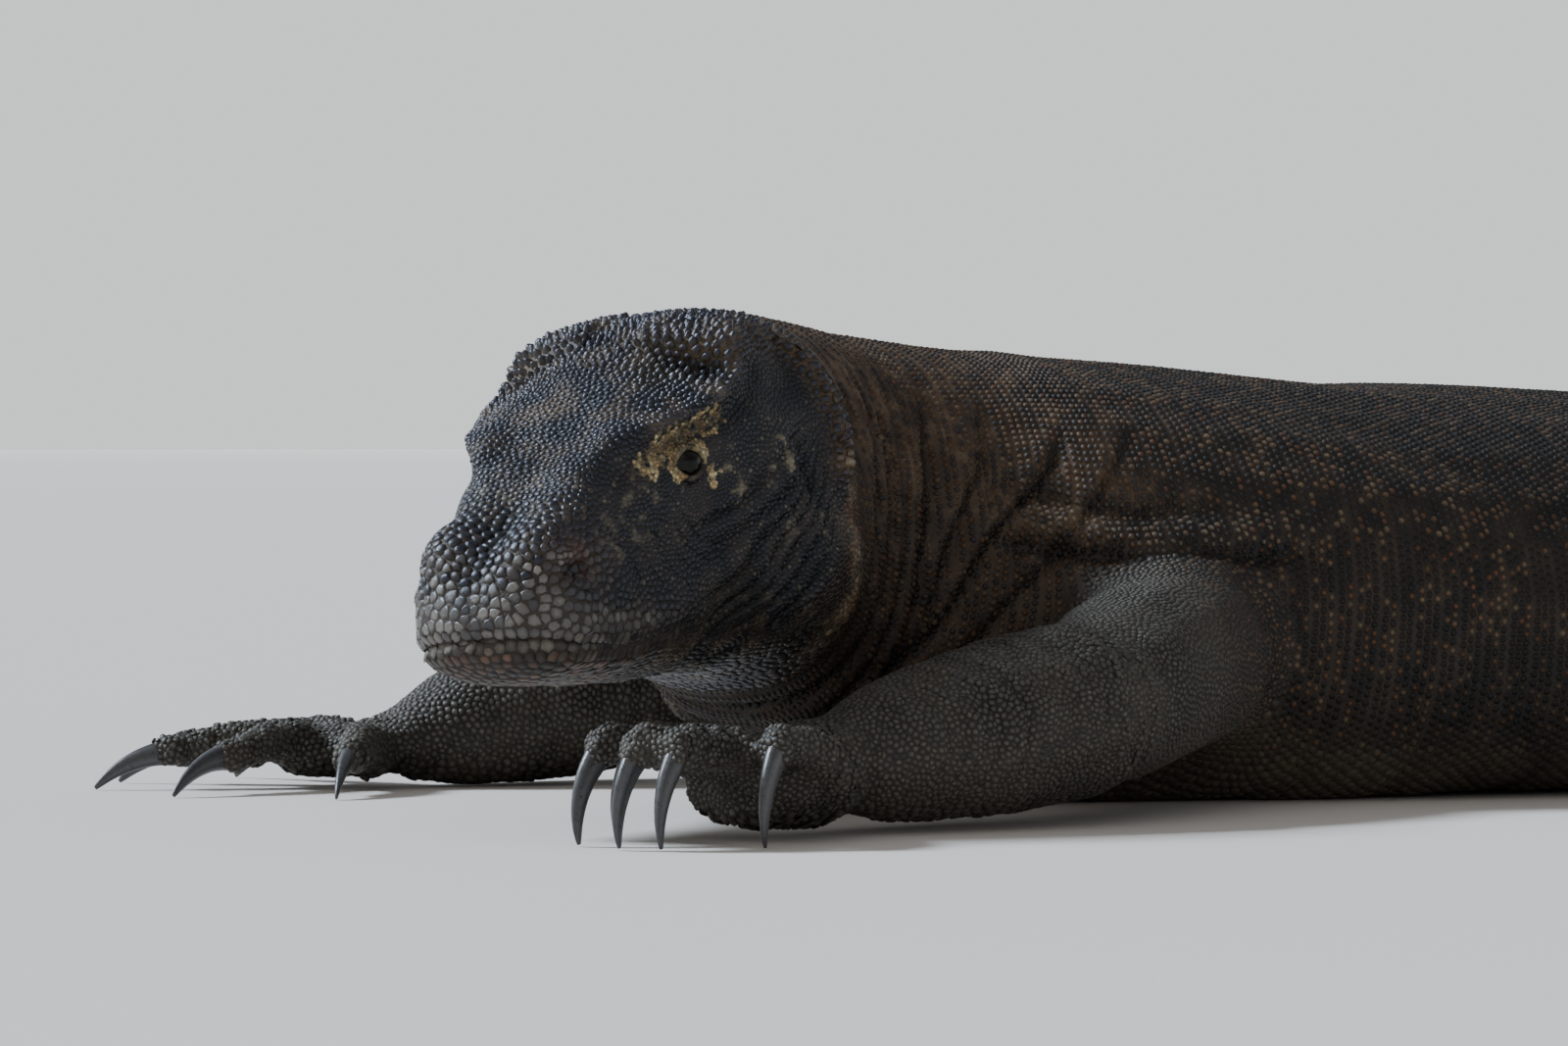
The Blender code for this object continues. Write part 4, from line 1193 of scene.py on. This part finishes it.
def styled(places, normals, shares, sizes):
    """Height, pointedness, lean, fill and slimness of each scale, from where it stands."""
    luck = np.random.default_rng(STYLE_SEED).random((3, len(places)))
    head, body = SPINE.in_head(places), SPINE.along_body(places)
    top, lip = over_brow(head), lip_share(head)
    crown = top * ease(head[:, 0], 0.105, 0.145)
    muzzle = muzzle_share(head, 0.040, 0.075)
    rim = on_rim(head, 0.0046) * ease(head[:, 2], 0.014, 0.030)
    neck = 1 - ease(body[:, 0], 0.36, 0.46)
    under = ease(-normals[:, 2], 0.4, 0.85)
    share = shares[:, :3] / np.maximum(shares[:, :3].sum(1), 1e-6)[:, None]

    def blend(*on_head_body_limb):
        return sum(share[:, k] * value for k, value in enumerate(on_head_body_limb))

    rise = blend(0.15 + 0.13 * top + 0.26 * crown * (1 - rim) + 0.10 * muzzle - 0.10 * lip + 0.40 * rim,
                 (0.20 + 0.06 * neck + 0.05 * ease(body[:, 0], 1.2, 1.5)) * (1 - 0.45 * under), 0.16)
    cone = blend(0.35 + 0.15 * top + 0.45 * crown - 0.15 * muzzle - 0.35 * lip + 0.4 * rim,
                 0.55 - 0.3 * under, 0.30)
    lean = blend(0.04 + 0.14 * crown + 0.05 * muzzle, 0.12, 0.10)
    fill = blend(0.90 - 0.08 * crown + 0.09 * lip + 0.05 * muzzle, 0.90 - 0.02 * neck + 0.04 * under, 0.93)
    height = sizes * rise * (0.82 + 0.36 * luck[0])
    height = height * (0.55 + 0.45 * ease(eye_distance(places), 0.010, 0.022))
    return {"height": np.maximum(height, 0.0002), "cone": limited(cone + 0.2 * (luck[1] - 0.5)),
            "lean": lean * (0.7 + 0.6 * luck[2]), "fill": fill * (0.95 + 0.10 * luck[1]),
            "slim": 1 - (0.20 - 0.08 * neck) * share[:, 1] * (1 - under)}


# ---------------------------------------------------------------- the coat
COAT_PIECES = {    # name: its solids and the rings of points of a scale
    "head_scales_left": (("head",), 3), "head_scales_right": (("head",), 3),
    "jaw_scales": (("lower_jaw",), 2),
    "neck_scales": (("neck",), 2),
    "chest_scales_left": (("thorax",), 2), "chest_scales_right": (("thorax",), 2),
    "loin_scales_left": (("loin",), 2), "loin_scales_right": (("loin",), 2),
    "tail_scales": (("tail_1", "tail_2", "tail_3", "tail_4"), 2),
    "left_fore_scales": (("left_upper_arm", "left_forearm", "left_hand"), 2),
    "right_fore_scales": (("right_upper_arm", "right_forearm", "right_hand"), 2),
    "left_hind_scales": (("left_thigh", "left_shank", "left_foot"), 1),
    "right_hind_scales": (("right_thigh", "right_shank", "right_foot"), 1),
}
BARE_LID = 1.14           # no scale stands nearer to the eye's opening, whose rim is 1


def coat(skin):
    """All the scales, as one piece for each length of the body."""
    row_roots, row_sizes = body_rows(skin)
    lip_roots, lip_sizes = mouth_rows(skin)
    seeds, seed_sizes = np.concatenate([row_roots, lip_roots]), np.concatenate([row_sizes, lip_sizes])
    loose_roots, loose_sizes = scatter(skin, seeds, seed_sizes)
    sizes = np.concatenate([seed_sizes, loose_sizes])
    places, normals, shares = skin.settle(np.concatenate([seeds, loose_roots]))
    on_lids = np.minimum(*(eye_angles(places, word)[1] for word in SIDES)) < BARE_LID
    kept = ~(on_lids & (eye_distance(places) <= 0.02))
    places, normals, shares, sizes = places[kept], normals[kept], shares[kept], sizes[kept]
    rims, tints, tips = marked(places, normals, shares, MARK_SEED)
    roots = {"place": places, "normal": normals, "size": sizes, "rim": rims, "tint": tints, "tip": tips,
             **outlines(places, normals, sizes), **styled(places, normals, shares, sizes)}
    owner = region_of(places, skin.solids, skin.owners)
    on_left = SPINE.along_body(places)[:, 1] > 0
    pieces = []
    for name, (nodes, rings) in COAT_PIECES.items():
        inside = np.isin(owner, [FLESH.index(node) for node in nodes])
        if name.endswith(("_left", "_right")):
            inside &= on_left == name.endswith("_left")
        chart = chart_places(places[inside], unwrap(nodes))
        pieces.append(grow(name, {key: values[inside] for key, values in roots.items()}, chart, rings))
    return pieces


# ---------------------------------------------------------------- claws and eyes
CLAW_RINGS, CLAW_SIDES = 26, 18
CLAW_ROOT = 0.22          # how far its root goes on into the digit, as a share of the claw
HORN, HORN_ROOT = np.array((0.060, 0.060, 0.064)), (0.075, 0.052, 0.034)
PUPIL, IRIS, IRIS_SPOKE, EYE_WHITE = ((0.002, 0.002, 0.002), (0.004, 0.003, 0.003), (0.012, 0.008, 0.005),
                                      (0.005, 0.004, 0.003))
PUPIL_EDGE, IRIS_EDGE = (0.28, 0.32), (0.56, 0.64)       # angles from the eyeball's front
EYE_RINGS, EYE_SIDES = 48, 64


def claw(paw, number):
    """A tapered horn, streaked along its length and narrower below, with its root in the digit."""
    node = f"{paw}_claw_{number}"
    length, *slopes = CLAW_PATHS[paw]
    root, heading, side = claw_stand(paw, number)
    up = np.array((0, 0, 1.0))
    turn = 2 * math.pi * np.arange(CLAW_SIDES) / CLAW_SIDES
    high, wide = np.cos(turn), np.sin(turn)
    wide = 0.72 * wide * (1 - 0.22 * np.maximum(-high, 0) * np.abs(wide) - 0.10 * np.abs(wide) ** 3)
    points, shades = [], []
    for s in (-CLAW_ROOT, *np.linspace(0, 1, CLAW_RINGS - 1) ** 0.9):
        forward, down, slope = claw_path(length, slopes, max(s, 0.0))
        along = heading * math.cos(slope) - up * math.sin(slope)
        upward = heading * math.sin(slope) + up * math.cos(slope)
        place = root + heading * forward - up * down + along * min(s, 0.0) * length
        radius = 0.85 * CLAW_RADIUS if s < 0 else CLAW_RADIUS * (1 - s) ** 0.75 + 0.9 * CLAW_TIP
        points.append(place + radius * (high[:, None] * upward + wide[:, None] * side))
        streak = 0.5 + 0.5 * np.sin(5 * turn + 3.1 * number + 2.5 * s)
        pale = HORN * (0.5 + 0.9 * streak * (1 - 0.5 * s))[:, None]
        shades.append(mix(pale, HORN_ROOT, 0.84 * max(0.25 - s, 0)))
    last = CLAW_SIDES * (CLAW_RINGS - 1)
    faces = ring_faces(CLAW_SIDES, CLAW_RINGS)
    faces += [list(range(CLAW_SIDES))[::-1], list(range(last, last + CLAW_SIDES))]
    points = np.concatenate(points)
    points[:, 2] = np.maximum(points[:, 2], GROUND)
    mesh = mesh_of(f"{node}_horn", points, faces)
    edit(mesh, face_outward)
    mesh.shade_smooth()
    paint_mesh(mesh, np.concatenate(shades))
    return add_object(f"{node}_horn", mesh), node


def eyeball(word):
    """An eyeball with a dark iris round its pupil and a slightly raised cornea."""
    centre, outward, forward, upward = eye_frame(word)
    angle = math.pi * np.arange(1, EYE_RINGS) / EYE_RINGS
    angle = np.concatenate([[0], np.repeat(angle, EYE_SIDES), [math.pi]])       # from the ball's front
    turn = 2 * math.pi * np.arange(EYE_SIDES) / EYE_SIDES
    turn = np.concatenate([[0], np.tile(turn, EYE_RINGS - 1), [0]])
    across, radius = np.sin(angle), EYE_BALL * (1 + 0.035 * near(angle, 0, 0.35))
    ball = radius * np.stack([across * np.cos(turn), across * np.sin(turn), np.cos(angle)])
    spokes = 0.5 + 0.5 * np.sin(23 * turn + 3 * np.sin(7 * turn))
    iris = mix(IRIS, IRIS_SPOKE, spokes * near(angle, 0.42, 0.10))
    shade = mix(mix(PUPIL, iris, ease(angle, *PUPIL_EDGE)), EYE_WHITE, ease(angle, *IRIS_EDGE))
    last = len(angle) - 1
    beside = [(k, (k + 1) % EYE_SIDES) for k in range(EYE_SIDES)]
    faces = [(0, 1 + a, 1 + b) for a, b in beside]
    faces += [tuple(1 + v for v in face) for face in ring_faces(EYE_SIDES, EYE_RINGS - 1)]
    faces += [(last, last - EYE_SIDES + b, last - EYE_SIDES + a) for a, b in beside]
    mesh = mesh_of(f"{word}_eyeball", ball.T @ np.stack([forward, upward, outward]) + centre, faces)
    edit(mesh, face_outward)
    mesh.shade_smooth()
    paint_mesh(mesh, shade)
    return add_object(f"{word}_eyeball", mesh)


# ---------------------------------------------------------------- materials
BUMP_DEPTH = 0.0004
SLATE_GLOSS = (0.78, 0.84, 1.0)          # the crown's bluish shine


def new_material(name):
    material = bpy.data.materials.new(name)
    material.use_nodes = True
    return material, material.node_tree.nodes, material.node_tree.links


def surface(name, roughness, vary, grain, bump, granules=0, specular=0.5, gloss_tint=(1, 1, 1)):
    """A material whose colour is the stored shade varied by noise, with its own gloss and fine bumps."""
    material, nodes, links = new_material(name)

    def node(kind, inputs, **settings):
        """The outputs of a new node, whose inputs are set to numbers or linked to other nodes' outputs."""
        made = nodes.new("ShaderNode" + kind)
        for key, value in settings.items():
            setattr(made, key, value)
        for socket, value in inputs.items():
            if isinstance(value, bpy.types.NodeSocket):
                links.new(value, made.inputs[socket])
            else:
                made.inputs[socket].default_value = value
        return made.outputs

    def noise(scale, detail):
        return node("TexNoise", {"Vector": where, "Scale": scale, "Detail": detail,
                                 "Roughness": 0.6})["Fac"]

    def spread(value, low, high):
        return node("MapRange", {"Value": value, "From Min": 0.3, "From Max": 0.7,
                                 "To Min": low, "To Max": high})["Result"]

    where = node("TexCoord", {})["Object"]
    shade = node("Attribute", {}, attribute_name="shade")["Color"]
    coarse, fine = noise(grain, 4), noise(grain * 7, 3)
    strength = node("Math", {0: spread(coarse, 1 - vary, 1 + vary),
                             1: spread(fine, 1 - 0.6 * vary, 1 + 0.6 * vary)}, operation="MULTIPLY")[0]
    tinted = node("VectorMath", {0: shade, "Scale": strength}, operation="SCALE")["Vector"]
    if granules:
        cells = node("TexVoronoi", {"Vector": where, "Scale": granules}, feature="SMOOTH_F1")["Distance"]
        bumps = node("Math", {0: 1.0, 1: cells}, operation="SUBTRACT")[0]
    else:
        bumps = fine
    relief = node("Bump", {"Strength": bump, "Distance": BUMP_DEPTH, "Height": bumps})["Normal"]
    shader = nodes["Principled BSDF"]
    shader.inputs["Specular IOR Level"].default_value = specular
    shader.inputs["Specular Tint"].default_value = (*gloss_tint, 1)
    links.new(tinted, shader.inputs["Base Color"])
    links.new(spread(coarse, roughness - 0.10, roughness + 0.12), shader.inputs["Roughness"])
    links.new(relief, shader.inputs["Normal"])
    return material


def scale_finish(name, roughness, specular, **more):
    """The material of one region's scales."""
    return surface(name, roughness, vary=0.24, grain=420, bump=0.35, specular=specular, **more)


def floor_material():
    material, nodes, _ = new_material("pale_floor")
    nodes["Principled BSDF"].inputs["Base Color"].default_value = (0.66, 0.61, 0.56, 1)
    nodes["Principled BSDF"].inputs["Roughness"].default_value = 0.85
    return material


def backdrop_material():
    """Glows as brightly as the lit floor looks, so that the two meet without a line."""
    material, nodes, links = new_material("backdrop")
    glow = nodes.new("ShaderNodeEmission")
    glow.inputs["Color"].default_value = (0.97, 0.99, 1.0, 1)
    glow.inputs["Strength"].default_value = BACKDROP_GLOW
    links.new(glow.outputs[0], nodes["Material Output"].inputs["Surface"])
    return material


# ---------------------------------------------------------------- stage, lights and camera
BACKDROP_GLOW = 0.97
BACKDROP_AWAY, BACKDROP_HIGH, FLOOR_AWAY = 30.0, 9.0, 40.0
FOCAL_PIXELS, FRAME_WIDE = 7020, 1600      # the lens in pixels of a frame this wide
HORIZON_DROP = 109.5                       # how far the horizon is above the frame's middle, in such pixels
EYE_X = 598                                # where the middle between the eyes falls across the frame
FROM_EYES = np.array((-0.0036, -0.0045, 0.0))      # the camera's target, from the middle between the eyes
CAMERA_AWAY, CAMERA_HIGH = 2.7, 0.162
SENSOR = 36.0
LOOK = np.array((0.5, 0.866, 0.0))         # level, away from the camera
ACROSS = np.array((0.866, -0.5, 0.0))      # to its right
SUNS = {    # where each comes from (right, away from the camera, up), strength, softness in degrees, colour
    "key": ((-1.2, 0.30, 1.10), 6.0, 14, (0.74, 0.86, 1.0)),
    "fill": ((-0.3, -1.0, 0.8), 0.30, 50, (1.0, 0.92, 0.82)),
}
SKY, SKY_STRENGTH = (0.86, 0.90, 0.95, 1), 0.36


def place_camera():
    data = bpy.data.cameras.new("camera")
    data.sensor_width, data.lens = SENSOR, SENSOR * FOCAL_PIXELS / FRAME_WIDE
    data.clip_start, data.clip_end = 0.1, 200.0
    camera = add_object("camera", data)
    target = (EYES["left"] + EYES["right"]) / 2 + FROM_EYES
    aside = (EYE_X - FRAME_WIDE / 2) / FOCAL_PIXELS * CAMERA_AWAY
    place = target - LOOK * CAMERA_AWAY - ACROSS * aside
    camera.location = (place[0], place[1], CAMERA_HIGH)
    camera.rotation_euler = (math.pi / 2 - math.atan(HORIZON_DROP / FOCAL_PIXELS), 0,
                             -math.atan2(LOOK[0], LOOK[1]))
    bpy.context.scene.camera = camera


def stage_piece(name, material, build):
    mesh = bpy.data.meshes.new(name)
    edit(mesh, build)
    mesh.materials.append(material)
    return add_object(name, mesh)


def backdrop_wall(bm):
    bmesh.ops.create_cone(bm, segments=128, radius1=BACKDROP_AWAY, radius2=BACKDROP_AWAY,
                          depth=BACKDROP_HIGH)
    bmesh.ops.translate(bm, vec=(0, 0, BACKDROP_HIGH / 2), verts=bm.verts)


def set_stage():
    floor = stage_piece("floor", floor_material(), lambda bm: bmesh.ops.create_circle(
        bm, cap_ends=True, segments=96, radius=FLOOR_AWAY))
    wall = stage_piece("backdrop", backdrop_material(), backdrop_wall)
    wall.visible_shadow = False
    world = bpy.data.worlds.new("studio")
    world.use_nodes = True
    world.node_tree.nodes["Background"].inputs["Color"].default_value = SKY
    world.node_tree.nodes["Background"].inputs["Strength"].default_value = SKY_STRENGTH
    bpy.context.scene.world = world
    for name, ((right, away, up), strength, softness, colour) in SUNS.items():
        data = bpy.data.lights.new(name, "SUN")
        data.energy, data.color, data.angle = strength, colour, math.radians(softness)
        toward = right * ACROSS + away * LOOK + np.array((0, 0, up))
        light = add_object(name, data)
        light.rotation_euler = Vector(-toward).to_track_quat("-Z", "Y").to_euler()


# ---------------------------------------------------------------- putting it together
def main():
    place_camera()
    skin = Skin()
    between, _, _ = marked(skin.points, skin.normals, skin.shares, SKIN_SEED)
    paint_mesh(skin.mesh, between)
    skin.mesh.shade_smooth()
    skin.mesh.materials.append(surface("skin", roughness=0.62, vary=0.22, grain=260, bump=0.9, granules=950,
                                       specular=0.35))
    hide = add_object("skin", skin.mesh)
    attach(hide, "root")
    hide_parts(*FLESH)

    finishes = {"head": scale_finish("head_scales", roughness=0.33, specular=0.50, gloss_tint=SLATE_GLOSS),
                "jaw": scale_finish("jaw_scales", roughness=0.46, specular=0.30),
                "body": scale_finish("body_scales", roughness=0.52, specular=0.24),
                "limb": scale_finish("limb_scales", roughness=0.50, specular=0.40)}
    for piece in coat(skin):
        kind = piece.name.split("_")[0]
        kind = "limb" if kind in SIDES else kind if kind in finishes else "body"
        piece.data.materials.append(finishes[kind])
        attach(piece, "root")

    horn = surface("horn", roughness=0.34, vary=0.20, grain=500, bump=0.2)
    for paw in CLAW_PATHS:
        for number in CLAWS:
            piece, node = claw(paw, number)
            piece.data.materials.append(horn)
            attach(piece, "root")
            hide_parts(node)

    glossy = surface("eyeball", roughness=0.16, vary=0.15, grain=900, bump=0.0, specular=0.20)
    for word in SIDES:
        piece = eyeball(word)
        piece.data.materials.append(glossy)
        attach(piece, "root")
        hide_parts(f"{word}_eye")
    set_stage()


main()
